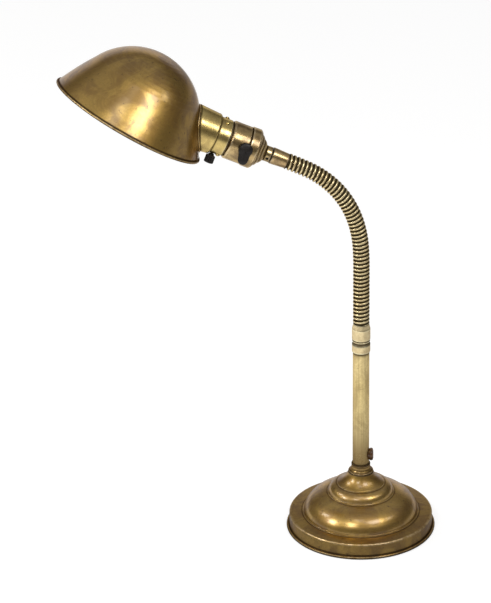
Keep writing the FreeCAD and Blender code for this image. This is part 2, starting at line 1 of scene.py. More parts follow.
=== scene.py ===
"""Looks of the brass gooseneck desk lamp.

Every visible piece is a surface worked out on a grid in millimetres, in the same frame as the
construction: the origin is the middle of the foot on the table, +Z up, the neck bends over towards -X and the
switch faces -Y.
"""
import logging
import math
from collections.abc import Callable
from dataclasses import dataclass, field
from enum import Enum
from typing import ClassVar

import bmesh
import bpy
import numpy as np
from mathutils import Matrix, Vector


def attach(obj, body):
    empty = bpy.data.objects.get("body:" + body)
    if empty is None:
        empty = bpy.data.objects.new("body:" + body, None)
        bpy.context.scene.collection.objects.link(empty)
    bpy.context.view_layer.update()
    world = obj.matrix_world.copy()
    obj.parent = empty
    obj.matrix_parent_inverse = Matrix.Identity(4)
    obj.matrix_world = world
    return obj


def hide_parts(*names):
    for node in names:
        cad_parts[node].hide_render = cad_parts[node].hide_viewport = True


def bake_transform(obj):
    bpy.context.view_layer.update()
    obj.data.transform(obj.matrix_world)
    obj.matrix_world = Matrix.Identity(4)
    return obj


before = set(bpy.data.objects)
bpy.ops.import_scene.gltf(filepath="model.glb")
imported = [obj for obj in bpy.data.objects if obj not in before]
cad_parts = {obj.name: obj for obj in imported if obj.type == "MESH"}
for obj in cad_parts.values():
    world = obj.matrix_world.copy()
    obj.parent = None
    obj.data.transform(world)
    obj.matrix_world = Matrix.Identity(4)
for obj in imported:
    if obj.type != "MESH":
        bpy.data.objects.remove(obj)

LOG = logging.getLogger("lamp")
MM = 0.001
TINY = 1e-6
SHARP = math.radians(38)
CORNER = math.radians(12)
LONGEST_RUN = 1.3
Colour = tuple[float, float, float]
Station = tuple[float, ...]
Spots = tuple[Station, ...]
Value = float | bpy.types.NodeSocket
Shape = Callable[[np.ndarray, np.ndarray, np.ndarray], tuple[np.ndarray, np.ndarray]]
ShadeAndDirt = Callable[[np.ndarray], np.ndarray]


# Frames and profiles
@dataclass(frozen=True)
class Axes:
    """A right-handed frame of a turned piece: its origin in millimetres and its three unit axes."""

    origin: np.ndarray
    x: np.ndarray
    y: np.ndarray
    z: np.ndarray

    @classmethod
    def along(cls, origin: np.ndarray, z: np.ndarray, x: np.ndarray) -> "Axes":
        """Frame whose Z lies along z and whose X is the part of x square to it.

        Args:
            origin: the frame's origin in millimetres.
            z: direction of the piece's own axis.
            x: direction near which the frame's X lies.

        Returns:
            The frame.
        """
        z = np.asarray(z, float) / np.linalg.norm(z)
        x = np.asarray(x, float) - z * np.dot(x, z)
        x /= np.linalg.norm(x)
        return cls(np.asarray(origin, float), x, np.cross(z, x), z)

    def place(self, local: np.ndarray) -> np.ndarray:
        """Points given in this frame, as points of the lamp's frame."""
        return (self.origin + local[..., :1] * self.x + local[..., 1:2] * self.y
                + local[..., 2:3] * self.z)

    def point(self, x: float, y: float, z: float) -> np.ndarray:
        """One point given in this frame, as a point of the lamp's frame."""
        return self.origin + self.x * x + self.y * y + self.z * z

    def angles(self) -> tuple[float, float, float]:
        """The turn, as Euler angles, that brings the lamp's axes back onto this frame's."""
        return tuple(Matrix((self.x, self.y, self.z)).to_euler())

    def across(self, azimuth: float, height: float) -> "Axes":
        """Frame on this axis whose Z points out at an azimuth in degrees and whose X runs along the axis."""
        a = math.radians(azimuth)
        out = self.x * math.cos(a) + self.y * math.sin(a)
        return Axes.along(self.point(0, 0, height), out, self.z)


FRONT = np.array([0.0, -1.0, 0.0])
RIGHT = np.array([1.0, 0.0, 0.0])
UP = np.array([0.0, 0.0, 1.0])
UPRIGHT = Axes(np.zeros(3), FRONT, RIGHT, UP)


def bowed_run(a: np.ndarray, b: np.ndarray, bow: float) -> np.ndarray:
    """Arc from a to b whose middle stands off the straight run by bow, to its left.

    With half chord c, the radius is (c squared + bow squared) / (2 bow), and the arc is swept about its
    centre in steps of 5 degrees or less.

    Args:
        a: start, as (radius, height).
        b: end, as (radius, height).
        bow: how far the middle is moved to the left of the run.

    Returns:
        Points after a, up to b.
    """
    chord = np.linalg.norm(b - a)
    way = (b - a) / chord
    left = np.array([-way[1], way[0]])
    radius = (chord**2 / 4 + bow**2) / (2 * bow)
    half = math.asin(max(-1.0, min(1.0, chord / (2 * radius))))
    count = max(4, int(abs(2 * math.degrees(half)) / 5) + 1)
    turn = np.linspace(-half, half, count + 1)[1:, None]
    centre = (a + b) / 2 + left * (bow - radius)
    return centre + radius * (left * np.cos(turn) + way * np.sin(turn))


def drawn(stations: list[Station]) -> np.ndarray:
    """Half section through stations (radius, height), or with the bow of the run that ends there third."""
    points = [np.array(stations[0][:2], float)]
    for station in stations[1:]:
        end = np.array(station[:2], float)
        if len(station) == 3 and abs(station[2]) > TINY:
            points.extend(bowed_run(points[-1], end, station[2]))
        else:
            points.append(end)
    return np.array(points)


def eased(points: np.ndarray, radius: float, closed: bool) -> np.ndarray:
    """Half section with every corner sharper than 12 degrees turned into a small arc of five points.

    Each corner is cut back by radius times the tangent of half its turn, and by less than half of its
    shorter side, and a quadratic blend joins the cuts.

    Args:
        points: corners of the section, as rows of (radius, height).
        radius: radius of the arcs in millimetres.
        closed: whether the last point joins the first.

    Returns:
        The section with its arcs.
    """
    widest_turn, side_share, arc_points = 2.6, 0.42, 5
    count, out = len(points), []
    for i in range(count):
        here = points[i]
        if not closed and i in (0, count - 1):
            out.append(here)
            continue
        before, after = points[i - 1] - here, points[(i + 1) % count] - here
        lengths = np.linalg.norm(before), np.linalg.norm(after)
        if min(lengths) < TINY:
            continue
        before, after = before / lengths[0], after / lengths[1]
        turn = math.pi - math.acos(max(-1.0, min(1.0, float(before @ after))))
        if turn < CORNER or here[0] < TINY:
            out.append(here)
            continue
        back = min(radius * math.tan(min(turn, widest_turn) / 2), side_share * min(lengths))
        for t in np.linspace(0, 1, arc_points):
            out.append(here + before * back * (1 - t)**2 + after * back * t**2)
    return np.array(out)


def filled(points: np.ndarray, longest: float, closed: bool) -> np.ndarray:
    """Half section with points added so that none of its runs is longer than a length."""
    ends = np.roll(points, -1, 0) if closed else points[1:]
    out = []
    for a, b in zip(points, ends):
        count = max(1, math.ceil(np.linalg.norm(b - a) / longest))
        out.append(a + (b - a) * (np.arange(count) / count)[:, None])
    if not closed:
        out.append(points[-1:])
    return np.vstack(out)


def wear_marks(section: np.ndarray, closed: bool, spots: Spots) -> tuple[np.ndarray, np.ndarray]:
    """How rubbed and highlit, and how grimy and shaded, each point of a section is, from 0 to 1.

    The turns of the outline are summed round each point, each weighed by the bell curve of its distance along
    it. What turns outwards is made paler, for rubbed wear with a painted highlight, and what turns inwards is
    made darker, for grime with painted shade, as are the spots. The sign of a turn is taken from the
    section's signed area, so it doesn't matter which way round the section runs.

    Args:
        section: points of the outline, as rows of (radius, height).
        closed: whether the last point joins the first.
        spots: further places that hold grime and painted shade, as (radius, height, reach). A reach below
            zero wipes its place clean.

    Returns:
        The rubbed and highlit values, and the grimy and shaded values.
    """
    reach, rubbed_and_highlit_turn, grime_and_shade_turn = 0.7, 0.9, 0.55
    after = np.roll(section, -1, 0)
    ahead, behind = after - section, section - np.roll(section, 1, 0)
    cross = behind[:, 0] * ahead[:, 1] - behind[:, 1] * ahead[:, 0]
    turn = np.arctan2(cross, (behind * ahead).sum(1))
    if (section[:, 0] * after[:, 1] - section[:, 1] * after[:, 0]).sum() < 0:
        turn = -turn
    if not closed:
        turn[[0, -1]] = 0
    at = np.concatenate([[0.0], np.cumsum(np.linalg.norm(ahead, axis=1))])
    apart = np.abs(at[:-1, None] - at[None, :-1])
    if closed:
        apart = np.minimum(apart, at[-1] - apart)
    total = (np.exp(-(apart / reach)**2) * turn).sum(1)
    # inward turns: grime with painted shade in the hollow
    grime_and_shade = np.clip(-total / grime_and_shade_turn, 0, 1)
    for radius, height, size in spots:
        away = np.hypot(section[:, 0] - radius, section[:, 1] - height)
        near = np.exp(-(away / size)**2)
        grime_and_shade = np.maximum(grime_and_shade, near) if size > 0 else grime_and_shade * (1 - near)
    # outward turns: rubbed wear with a painted highlight along the edge
    return np.clip(total / rubbed_and_highlit_turn, 0, 1), grime_and_shade


# Meshes
def surface(name: str, grid: np.ndarray, wrap_rows: bool = False, wrap_columns: bool = False,
            normals: np.ndarray | None = None, tidy: bool = True,
            marks: dict[str, np.ndarray] | None = None) -> bpy.types.Object:
    """Object made of the quads between neighbouring points of a grid.

    Args:
        name: name of the object.
        grid: rows by columns by 3 array of points in millimetres.
        wrap_rows: whether the last row joins the first.
        wrap_columns: whether the last column joins the first.
        normals: the surface's own normals at the points, where its edge must shade like its neighbour's.
        tidy: whether doubled points are merged and the faces turned outwards.
        marks: values at the points, kept as attributes for the finish.

    Returns:
        The object, linked to the scene, with its place in its mesh.
    """
    rows, columns = grid.shape[:2]
    index = np.arange(rows * columns).reshape(rows, columns)
    if wrap_rows:
        index = np.vstack([index, index[:1]])
    if wrap_columns:
        index = np.hstack([index, index[:, :1]])
    quads = np.stack([index[:-1, :-1], index[:-1, 1:], index[1:, 1:], index[1:, :-1]], -1).reshape(-1, 4)
    mesh = bpy.data.meshes.new(name)
    mesh.vertices.add(rows * columns)
    mesh.vertices.foreach_set("co", (grid * MM).astype(np.float32).ravel())
    mesh.loops.add(quads.size)
    mesh.loops.foreach_set("vertex_index", quads.astype(np.int32).ravel())
    mesh.polygons.add(len(quads))
    mesh.polygons.foreach_set("loop_start", (np.arange(len(quads)) * 4).astype(np.int32))
    mesh.update(calc_edges=True)
    for key, values in (marks or {}).items():
        layer = mesh.attributes.new(key, "FLOAT", "POINT")
        layer.data.foreach_set("value", values.astype(np.float32).ravel())
    if tidy:
        work = bmesh.new()
        work.from_mesh(mesh)
        bmesh.ops.remove_doubles(work, verts=work.verts, dist=TINY)
        bmesh.ops.recalc_face_normals(work, faces=work.faces)
        work.to_mesh(mesh)
        work.free()
    mesh.polygons.foreach_set("use_smooth", np.ones(len(mesh.polygons), bool))
    mesh.set_sharp_from_angle(angle=SHARP)
    if normals is not None:
        mesh.normals_split_custom_set_from_vertices(normals.reshape(-1, 3))
    obj = bpy.data.objects.new(name, mesh)
    bpy.context.scene.collection.objects.link(obj)
    return obj


def turned(name: str, stations: list[Station], axes: Axes = UPRIGHT, steps: int = 96, ease: float = 0.2,
           shape: Shape | None = None, spots: Spots = (), shade_and_dirt: ShadeAndDirt | None = None) -> bpy.types.Object:
    """Piece turned about its frame's Z: (r, h) becomes (r cos t, r sin t, h) for t once round.

    Args:
        name: name of the object.
        stations: half section, anticlockwise, closed unless it starts and ends on the axis.
        axes: frame of the piece.
        steps: number of steps round it.
        ease: radius of the rounding on its corners, in millimetres.
        shape: what changes (r, h) at an angle, for knurls and slots, or None.
        spots: places of the section that hold grime and painted shade, as (radius, height, reach).
        shade_and_dirt: what gives further grime and painted shade at points of the lamp's frame, or None.

    Returns:
        The object.
    """
    closed = not (abs(stations[0][0]) < TINY and abs(stations[-1][0]) < TINY)
    section = filled(eased(drawn(stations), ease, closed), LONGEST_RUN, closed)
    rubbed_and_highlit, grime_and_shade = wear_marks(section, closed, spots)
    t = np.linspace(0, 2 * math.pi, steps, endpoint=False)[None, :]
    r, h = section[:, :1] + 0 * t, section[:, 1:] + 0 * t
    if shape is not None:
        r, h = shape(r, h, t + 0 * r)
    grid = axes.place(np.stack([r * np.cos(t), r * np.sin(t), h], -1))
    # grime with painted shade, kept as an attribute for the finish
    grime_and_shade = grime_and_shade[:, None] + 0 * t
    if shade_and_dirt is not None:
        grime_and_shade = np.maximum(grime_and_shade, shade_and_dirt(grid))
    return surface(name, grid, wrap_rows=closed, wrap_columns=True,
                   marks={"edge": rubbed_and_highlit[:, None] + 0 * t, "grime_and_shade": grime_and_shade})


def cut_away(obj: bpy.types.Object, *cutters: bpy.types.Object) -> bpy.types.Object:
    """Cut the cutters out of a piece, keep the result as its mesh and remove the cutters."""
    for cutter in cutters:
        way = obj.modifiers.new("cut", "BOOLEAN")
        way.operation, way.object, way.solver = "DIFFERENCE", cutter, "EXACT"
    graph = bpy.context.evaluated_depsgraph_get()
    mesh = bpy.data.meshes.new_from_object(obj.evaluated_get(graph))
    obj.modifiers.clear()
    obj.data = mesh
    for cutter in cutters:
        bpy.data.objects.remove(cutter)
    mesh.set_sharp_from_angle(angle=SHARP)
    return obj


def bar(radius: float, axes: Axes, low: float, high: float) -> bpy.types.Object:
    """Round cutter along a frame's Z between two heights."""
    return turned("cutter", [(0, low), (radius, low), (radius, high), (0, high)], axes, 48, 0.01)


# Shader node helpers
class Nodes:
    """Short way to add and join the nodes of one tree."""

    def __init__(self, tree: bpy.types.NodeTree) -> None:
        """Keep the tree and clear it."""
        self.tree = tree
        tree.nodes.clear()

    def add(self, kind: str, inputs: dict | None = None, **settings) -> bpy.types.Node:
        """Add a node, set its properties, and set or join its inputs.

        Args:
            kind: the node's type.
            inputs: input names or places, each with a value or the socket that feeds it.
            **settings: properties of the node.

        Returns:
            The node.
        """
        node = self.tree.nodes.new(kind)
        for key, value in settings.items():
            setattr(node, key, value)
        for key, value in (inputs or {}).items():
            if isinstance(value, bpy.types.NodeSocket):
                self.tree.links.new(value, node.inputs[key])
            else:
                node.inputs[key].default_value = value
        return node

    def maths(self, operation: str, a: Value, b: Value, clamp: bool = False) -> bpy.types.NodeSocket:
        """Result of a Math node on two values or sockets."""
        return self.add("ShaderNodeMath", {0: a, 1: b}, operation=operation, use_clamp=clamp).outputs[0]

    def mixed(self, factor: Value, a: Colour | bpy.types.NodeSocket,
              b: Colour | bpy.types.NodeSocket) -> bpy.types.NodeSocket:
        """Colour between a and b by a factor."""
        node = self.add("ShaderNodeMix", {0: factor}, data_type="RGBA")
        for place, value in ((6, a), (7, b)):
            if isinstance(value, bpy.types.NodeSocket):
                self.tree.links.new(value, node.inputs[place])
            else:
                node.inputs[place].default_value = (*value, 1.0)
        return node.outputs[2]

    def noise(self, place: Value, scale: Value, detail: float, **inputs: float) -> bpy.types.NodeSocket:
        """Value of a Noise Texture at a place."""
        return self.add("ShaderNodeTexNoise", {"Vector": place, "Scale": scale, "Detail": detail,
                                               **inputs}).outputs[0]

    def spread(self, value: Value, low: float, high: float, out_low: float = 0.0,
               out_high: float = 1.0) -> bpy.types.NodeSocket:
        """Value carried from one range to another, smoothly and held at its ends."""
        node = self.add("ShaderNodeMapRange", {0: value, 1: low, 2: high, 3: out_low, 4: out_high},
                        interpolation_type="SMOOTHSTEP")
        return node.outputs[0]


class Effect(Enum):
    """The effects that several finishes share, each a node group."""

    MOTTLE = "mottled tarnish"
    SPUN = "spun lines"
    RUBBED_AND_HIGHLIT = "rubbed and highlit edges"


def effect_group(effect: Effect) -> bpy.types.NodeTree:
    """The node group of an effect, made the first time it is asked for.

    Args:
        effect: which effect.

    Returns:
        The group. Mottle gives a patch mask, a speck mask, a cloud value and a fine grain, spun gives a
        height and rubbed and highlit gives a mask for rubbed wear with a painted highlight on outward edges.
    """
    found = bpy.data.node_groups.get(effect.value)
    if found is not None:
        return found
    group = bpy.data.node_groups.new(effect.value, "ShaderNodeTree")

    def port(name: str, way: str, kind: str = "NodeSocketFloat", value: float | None = None) -> None:
        """Add one socket to the group's outside."""
        made = group.interface.new_socket(name=name, in_out=way, socket_type=kind)
        if value is not None:
            made.default_value = value

    port("Vector", "INPUT", "NodeSocketVector")
    nodes = Nodes(group)
    if effect is Effect.MOTTLE:
        port("Scale", "INPUT", value=60.0)
        port("Patches", "OUTPUT")
        port("Specks", "OUTPUT")
        port("Cloud", "OUTPUT")
        port("Grain", "OUTPUT")
        feed = nodes.add("NodeGroupInput").outputs
        finer, slower, finest = (nodes.maths("MULTIPLY", feed[1], share) for share in (5.5, 0.28, 11.0))
        patches = nodes.noise(feed[0], feed[1], 5.0, Roughness=0.62, Distortion=0.7)
        specks = nodes.noise(feed[0], finer, 3.0, Roughness=0.7)
        cloud = nodes.noise(feed[0], slower, 2.0)
        grain = nodes.noise(feed[0], finest, 4.0, Roughness=0.75)
        nodes.add("NodeGroupOutput", {
            0: nodes.spread(patches, 0.40, 0.62), 1: nodes.spread(specks, 0.62, 0.70),
            2: nodes.spread(cloud, 0.35, 0.65), 3: nodes.spread(grain, 0.3, 0.7)})
    elif effect is Effect.SPUN:
        port("Scale", "INPUT", value=900.0)
        port("Height", "OUTPUT")
        feed = nodes.add("NodeGroupInput").outputs
        outward, sway = 0.83, (14.0, 14.0, 14.0)
        parts = nodes.add("ShaderNodeSeparateXYZ", {0: feed[0]}).outputs
        flat = nodes.add("ShaderNodeCombineXYZ", {0: parts[0], 1: parts[1]}).outputs[0]
        out = nodes.add("ShaderNodeVectorMath", {0: flat}, operation="LENGTH").outputs["Value"]
        along = nodes.maths("ADD", parts[2], nodes.maths("MULTIPLY", out, outward))
        line = nodes.add("ShaderNodeCombineXYZ", {2: nodes.maths("MULTIPLY", along, feed[1])}).outputs[0]
        soft = nodes.add("ShaderNodeVectorMath", {0: feed[0], 1: sway}, operation="MULTIPLY").outputs[0]
        both = nodes.add("ShaderNodeVectorMath", {0: line, 1: soft}, operation="ADD").outputs[0]
        nodes.add("NodeGroupOutput", {0: nodes.noise(both, 1.0, 2.0)})
    else:
        # rubbed wear with a painted highlight along outward edges, broken by noise
        port("Edge", "INPUT", value=0.0)
        port("Mask", "OUTPUT")
        feed = nodes.add("NodeGroupInput").outputs
        broken = nodes.spread(nodes.noise(feed[0], 240.0, 3.0), 0.38, 0.62, 0.25, 1.0)
        nodes.add("NodeGroupOutput", {0: nodes.maths("MULTIPLY", feed[1], broken, clamp=True)})
    return group


def placed_effect(nodes: Nodes, effect: Effect, vector: Value, value: Value) -> bpy.types.NodeOutputs:
    """Outputs of an effect's group in a material, fed with a vector and its one value."""
    return nodes.add("ShaderNodeGroup", {0: vector, 1: value}, node_tree=effect_group(effect)).outputs


def started(name: str) -> tuple[bpy.types.Material, Nodes]:
    """A new empty material and the helper for its nodes."""
    made = bpy.data.materials.new(name)
    made.use_nodes = True
    return made, Nodes(made.node_tree)


# Finishes
@dataclass(frozen=True)
class Brass:
    """Old brass: a warm metal with paler worn places, browner tarnish, specks and lines left by turning,
    edges paler from rubbing and a painted highlight, and hollows darker from grime and painted shade.
    """

    name: str
    slot: str
    pale: Colour
    warm: Colour
    brown: Colour
    roughness: float = 0.28
    roughness_tarnished: float = 0.44
    mottle: float = 70.0
    tarnish: float = 0.55
    specks: float = 0.35
    lines: float = 0.12
    rim: Colour = (1.0, 0.97, 0.9)
    line_scale: float = 1500.0
    # colour of grime and of painted shade in hollows, seams and grooves
    shade_and_dirt: Colour = (0.030, 0.019, 0.010)
    lacquer: float = 0.85
    streaks: float = 0.0
    brown_below: tuple[float, float] | None = None
    worn_shade: ClassVar[float] = 0.72
    worn_share: ClassVar[float] = 0.55
    speck_shade: ClassVar[float] = 0.3
    rubbed_and_highlit_lift: ClassVar[float] = 0.22
    rubbed_and_highlit_share: ClassVar[float] = 0.7
    grime_and_shade_share: ClassVar[float] = 0.93
    grime_rough: ClassVar[float] = 0.25
    grain_rough: ClassVar[float] = 0.06
    brown_share: ClassVar[float] = 0.85
    shaded_groove_depths: ClassVar[tuple[float, float]] = (0.07, 0.42)
    streak_scale: ClassVar[float] = 620.0
    streak_stretch: ClassVar[tuple[float, float, float]] = (1.0, 1.0, 0.03)
    streak_range: ClassVar[tuple[float, float]] = (0.42, 0.66)
    wave_scale: ClassVar[float] = 26.0
    wave_strength: ClassVar[float] = 0.35
    wave_height: ClassVar[float] = 0.0006
    line_height: ClassVar[float] = 0.0002
    speck_height: ClassVar[float] = 0.15
    lacquer_rough: ClassVar[float] = 0.24
    lacquer_index: ClassVar[float] = 1.65

    def material(self, axes: Axes = UPRIGHT, tag: str = "", grooved: bool = False) -> bpy.types.Material:
        """Material for one piece, its lines set square to the piece's own axis.

        Args:
            axes: frame the piece was turned in.
            tag: word added to the material's name.
            grooved: whether the piece has a depth attribute that darkens its grooves with grime and painted
                shade.

        Returns:
            The material.
        """
        made, nodes = started(self.name + tag)
        place = nodes.add("ShaderNodeTexCoord").outputs["Object"]
        origin = tuple(-axes.origin * MM)
        centred = nodes.add("ShaderNodeMapping", {"Vector": place, "Location": origin}).outputs[0]
        local = nodes.add("ShaderNodeMapping", {"Vector": centred, "Rotation": axes.angles()}).outputs[0]
        patches, specks, cloud, grain = placed_effect(nodes, Effect.MOTTLE, place, self.mottle)
        spun = placed_effect(nodes, Effect.SPUN, local, self.line_scale)[0]
        edge = nodes.add("ShaderNodeAttribute", attribute_name="edge").outputs["Fac"]
        grime_and_shade = nodes.add("ShaderNodeAttribute", attribute_name="grime_and_shade").outputs["Fac"]
        rubbed_and_highlit = placed_effect(nodes, Effect.RUBBED_AND_HIGHLIT, place, edge)[0]
        # painted shade with grime deep in the grooves
        if grooved:
            depth = nodes.add("ShaderNodeAttribute", attribute_name="depth").outputs["Fac"]
            grime_and_shade = nodes.maths("MAXIMUM", grime_and_shade, nodes.spread(depth, *self.shaded_groove_depths))
        stain = nodes.maths("MULTIPLY", patches, self.tarnish)
        if self.brown_below is not None:
            height = nodes.add("ShaderNodeSeparateXYZ", {0: place}).outputs[2]
            low, high = self.brown_below
            below = nodes.spread(height, high * MM, low * MM, 0.0, self.brown_share)
            stain = nodes.maths("MAXIMUM", stain, below)
        layers = [(stain, self.brown), (nodes.maths("MULTIPLY", grain, self.worn_share),
                                        tuple(c * self.worn_shade for c in self.warm))]
        if self.streaks:
            long_way = nodes.add("ShaderNodeMapping", {"Vector": place, "Scale": self.streak_stretch})
            streak = nodes.noise(long_way.outputs[0], self.streak_scale, 3.0)
            layers.append((nodes.spread(streak, *self.streak_range, 0.0, self.streaks), self.brown))
        # rubbed layer: rubbed wear with a painted highlight; last layer: grime with painted shade
        layers += [
            (nodes.maths("MULTIPLY", specks, self.specks), tuple(c * self.speck_shade for c in self.brown)),
            (nodes.maths("MULTIPLY", rubbed_and_highlit, self.rubbed_and_highlit_share),
             tuple(min(1.0, c + self.rubbed_and_highlit_lift) for c in self.pale)),
            (nodes.maths("MULTIPLY", grime_and_shade, self.grime_and_shade_share), self.shade_and_dirt),
        ]
        colour = nodes.mixed(cloud, self.pale, self.warm)
        for share, over in layers:
            colour = nodes.mixed(share, colour, over)
        rough = nodes.spread(patches, 0.0, 1.0, self.roughness, self.roughness_tarnished)
        rough = nodes.maths("ADD", rough, nodes.maths("MULTIPLY", grain, self.grain_rough))
        rough = nodes.maths("ADD", rough, nodes.maths("MULTIPLY", grime_and_shade, self.grime_rough), clamp=True)
        height = nodes.maths("ADD", spun, nodes.maths("MULTIPLY", specks, self.speck_height))
        uneven = nodes.add("ShaderNodeBump", {"Height": nodes.noise(place, self.wave_scale, 1.0),
                                              "Strength": self.wave_strength, "Distance": self.wave_height})
        bump = nodes.add("ShaderNodeBump", {"Height": height, "Strength": self.lines,
                                            "Distance": self.line_height, "Normal": uneven.outputs[0]})
        film = nodes.maths("MULTIPLY", nodes.maths("SUBTRACT", 1.0, grime_and_shade), self.lacquer)
        shader = nodes.add("ShaderNodeBsdfPrincipled", {
            "Base Color": colour, "Roughness": rough, "Metallic": 1.0, "Normal": bump.outputs[0],
            "Specular Tint": (*self.rim, 1.0), "Coat Weight": film, "Coat Roughness": self.lacquer_rough,
            "Coat IOR": self.lacquer_index})
        nodes.add("ShaderNodeOutputMaterial", {0: shader.outputs[0]})
        return made


@dataclass(frozen=True)
class Moulding:
    """Old moulded plastic or pressed block: a body with a faint swirl, dust in its pores, a worn gloss and
    edges lighter from rubbing and a painted highlight.
    """

    name: str
    slot: str
    body: Colour
    swirl: Colour
    roughness: float = 0.3
    grain: float = 420.0
    pores: float = 0.15
    coat: float = 0.3
    swirl_share: ClassVar[float] = 0.5
    rubbed_and_highlit_share: ClassVar[float] = 0.35
    rubbed_and_highlit_lift: ClassVar[tuple[float, float]] = (2.2, 0.01)
    dull_by: ClassVar[float] = 0.18
    pore_depth: ClassVar[float] = 0.0002
    coat_rough: ClassVar[float] = 0.12
    index: ClassVar[float] = 1.54
    gloss: ClassVar[float] = 0.28

    def material(self) -> bpy.types.Material:
        """Material for a piece."""
        made, nodes = started(self.name)
        place = nodes.add("ShaderNodeTexCoord").outputs["Object"]
        patches, specks, cloud, _ = placed_effect(nodes, Effect.MOTTLE, place, self.grain)
        edge = nodes.add("ShaderNodeAttribute", attribute_name="edge").outputs["Fac"]
        # edges lighter: rubbed wear with a painted highlight
        rubbed_and_highlit = placed_effect(nodes, Effect.RUBBED_AND_HIGHLIT, place, edge)[0]
        times, plus = self.rubbed_and_highlit_lift
        bright = tuple(c * times + plus for c in self.swirl)
        colour = nodes.mixed(nodes.maths("MULTIPLY", patches, self.swirl_share), self.body, self.swirl)
        colour = nodes.mixed(nodes.maths("MULTIPLY", rubbed_and_highlit, self.rubbed_and_highlit_share), colour, bright)
        rough = nodes.spread(cloud, 0.0, 1.0, self.roughness, self.roughness + self.dull_by)
        bump = nodes.add("ShaderNodeBump", {"Height": specks, "Strength": self.pores,
                                            "Distance": self.pore_depth})
        shader = nodes.add("ShaderNodeBsdfPrincipled", {
            "Base Color": colour, "Roughness": rough, "Normal": bump.outputs[0], "Coat Weight": self.coat,
            "Coat Roughness": self.coat_rough, "IOR": self.index, "Specular IOR Level": self.gloss})
        nodes.add("ShaderNodeOutputMaterial", {0: shader.outputs[0]})
        return made


@dataclass(frozen=True)
class DullMetal:
    """Iron or steel that is out of sight in use: grey metal with rust bloom and a rough skin."""

    name: str
    slot: str
    metal: Colour
    rust: Colour
    roughness: float = 0.5
    grain: float = 260.0
    rusting: float = 0.35
    skin: float = 0.3
    rough_by: ClassVar[float] = 0.3
    full_rust: ClassVar[float] = 0.6
    rust_metallic: ClassVar[float] = 0.3
    skin_height: ClassVar[float] = 0.0003

    def material(self) -> bpy.types.Material:
        """Material for a piece."""
        made, nodes = started(self.name)
        place = nodes.add("ShaderNodeTexCoord").outputs["Object"]
        patches, specks, _, _ = placed_effect(nodes, Effect.MOTTLE, place, self.grain)
        rust = nodes.maths("MULTIPLY", patches, self.rusting)
        colour = nodes.mixed(rust, self.metal, self.rust)
        metallic = nodes.spread(rust, 0.0, self.full_rust, 1.0, self.rust_metallic)
        rough = nodes.spread(patches, 0.0, 1.0, self.roughness, self.roughness + self.rough_by)
        bump = nodes.add("ShaderNodeBump", {"Height": specks, "Strength": self.skin,
                                            "Distance": self.skin_height})
        shader = nodes.add("ShaderNodeBsdfPrincipled", {
            "Base Color": colour, "Roughness": rough, "Metallic": metallic, "Normal": bump.outputs[0]})
        nodes.add("ShaderNodeOutputMaterial", {0: shader.outputs[0]})
        return made


@dataclass(frozen=True)
class Baize:
    """Green baize: a matted wool face with a soft sheen and short fibres that stand up unevenly."""

    name: str = "green baize"
    slot: str = "baize"
    wool: Colour = (0.016, 0.075, 0.035)
    worn: Colour = (0.05, 0.13, 0.07)
    worn_share: float = 0.6
    patch_scale: float = 160.0
    fibre_scale: float = 2600.0
    fibre_strength: float = 0.6
    fibre_height: float = 0.0003
    roughness: float = 0.95
    sheen: float = 0.4

    def material(self) -> bpy.types.Material:
        """Material for the pad."""
        made, nodes = started(self.name)
        place = nodes.add("ShaderNodeTexCoord").outputs["Object"]
        patches = placed_effect(nodes, Effect.MOTTLE, place, self.patch_scale)[0]
        fibre = nodes.noise(place, self.fibre_scale, 2.0)
        colour = nodes.mixed(nodes.maths("MULTIPLY", patches, self.worn_share), self.wool, self.worn)
        bump = nodes.add("ShaderNodeBump", {"Height": fibre, "Strength": self.fibre_strength,
                                            "Distance": self.fibre_height})
        shader = nodes.add("ShaderNodeBsdfPrincipled", {
            "Base Color": colour, "Roughness": self.roughness, "Sheen Weight": self.sheen,
            "Normal": bump.outputs[0]})
        nodes.add("ShaderNodeOutputMaterial", {0: shader.outputs[0]})
        return made


AGED = Brass(
    "aged spun brass", "aged_brass", pale=(0.54, 0.335, 0.068), warm=(0.43, 0.255, 0.044),
    brown=(0.18, 0.092, 0.016), roughness=0.29, roughness_tarnished=0.40, mottle=42.0, tarnish=0.8,
    specks=0.55, lines=0.06, rim=(0.45, 0.32, 0.16), lacquer=0.8)
STEM = Brass(
    "stem brass", "brass", pale=(0.86, 0.69, 0.34), warm=(0.77, 0.60, 0.26), brown=(0.22, 0.12, 0.034),
    roughness=0.30, roughness_tarnished=0.40, mottle=55.0, tarnish=0.35, specks=0.3, lines=0.04,
    rim=(0.62, 0.5, 0.36), lacquer=0.25, streaks=0.22, brown_below=(70.0, 122.0))
COLLAR = Brass(
    "collar brass", "brass", pale=(0.46, 0.29, 0.085), warm=(0.36, 0.22, 0.055), brown=(0.16, 0.085, 0.022),
    roughness=0.25, roughness_tarnished=0.34, mottle=60.0, tarnish=0.5, specks=0.4, lines=0.05,
    rim=(0.4, 0.3, 0.18), lacquer=0.5)
FERRULE = Brass(
    "pale ferrule brass", "brass", pale=(0.88, 0.74, 0.44), warm=(0.78, 0.62, 0.33), brown=(0.34, 0.22, 0.10),
    roughness=0.28, roughness_tarnished=0.38, mottle=90.0, tarnish=0.35, specks=0.25, lines=0.05,
    rim=(0.6, 0.52, 0.42), lacquer=0.4)
HEAD = Brass(
    "head ferrule brass", "brass", pale=(0.60, 0.43, 0.20), warm=(0.44, 0.29, 0.12),
    brown=(0.17, 0.10, 0.038), roughness=0.26, roughness_tarnished=0.36, mottle=110.0, tarnish=0.7,
    specks=0.4, lines=0.05, rim=(0.5, 0.42, 0.32), lacquer=0.5)
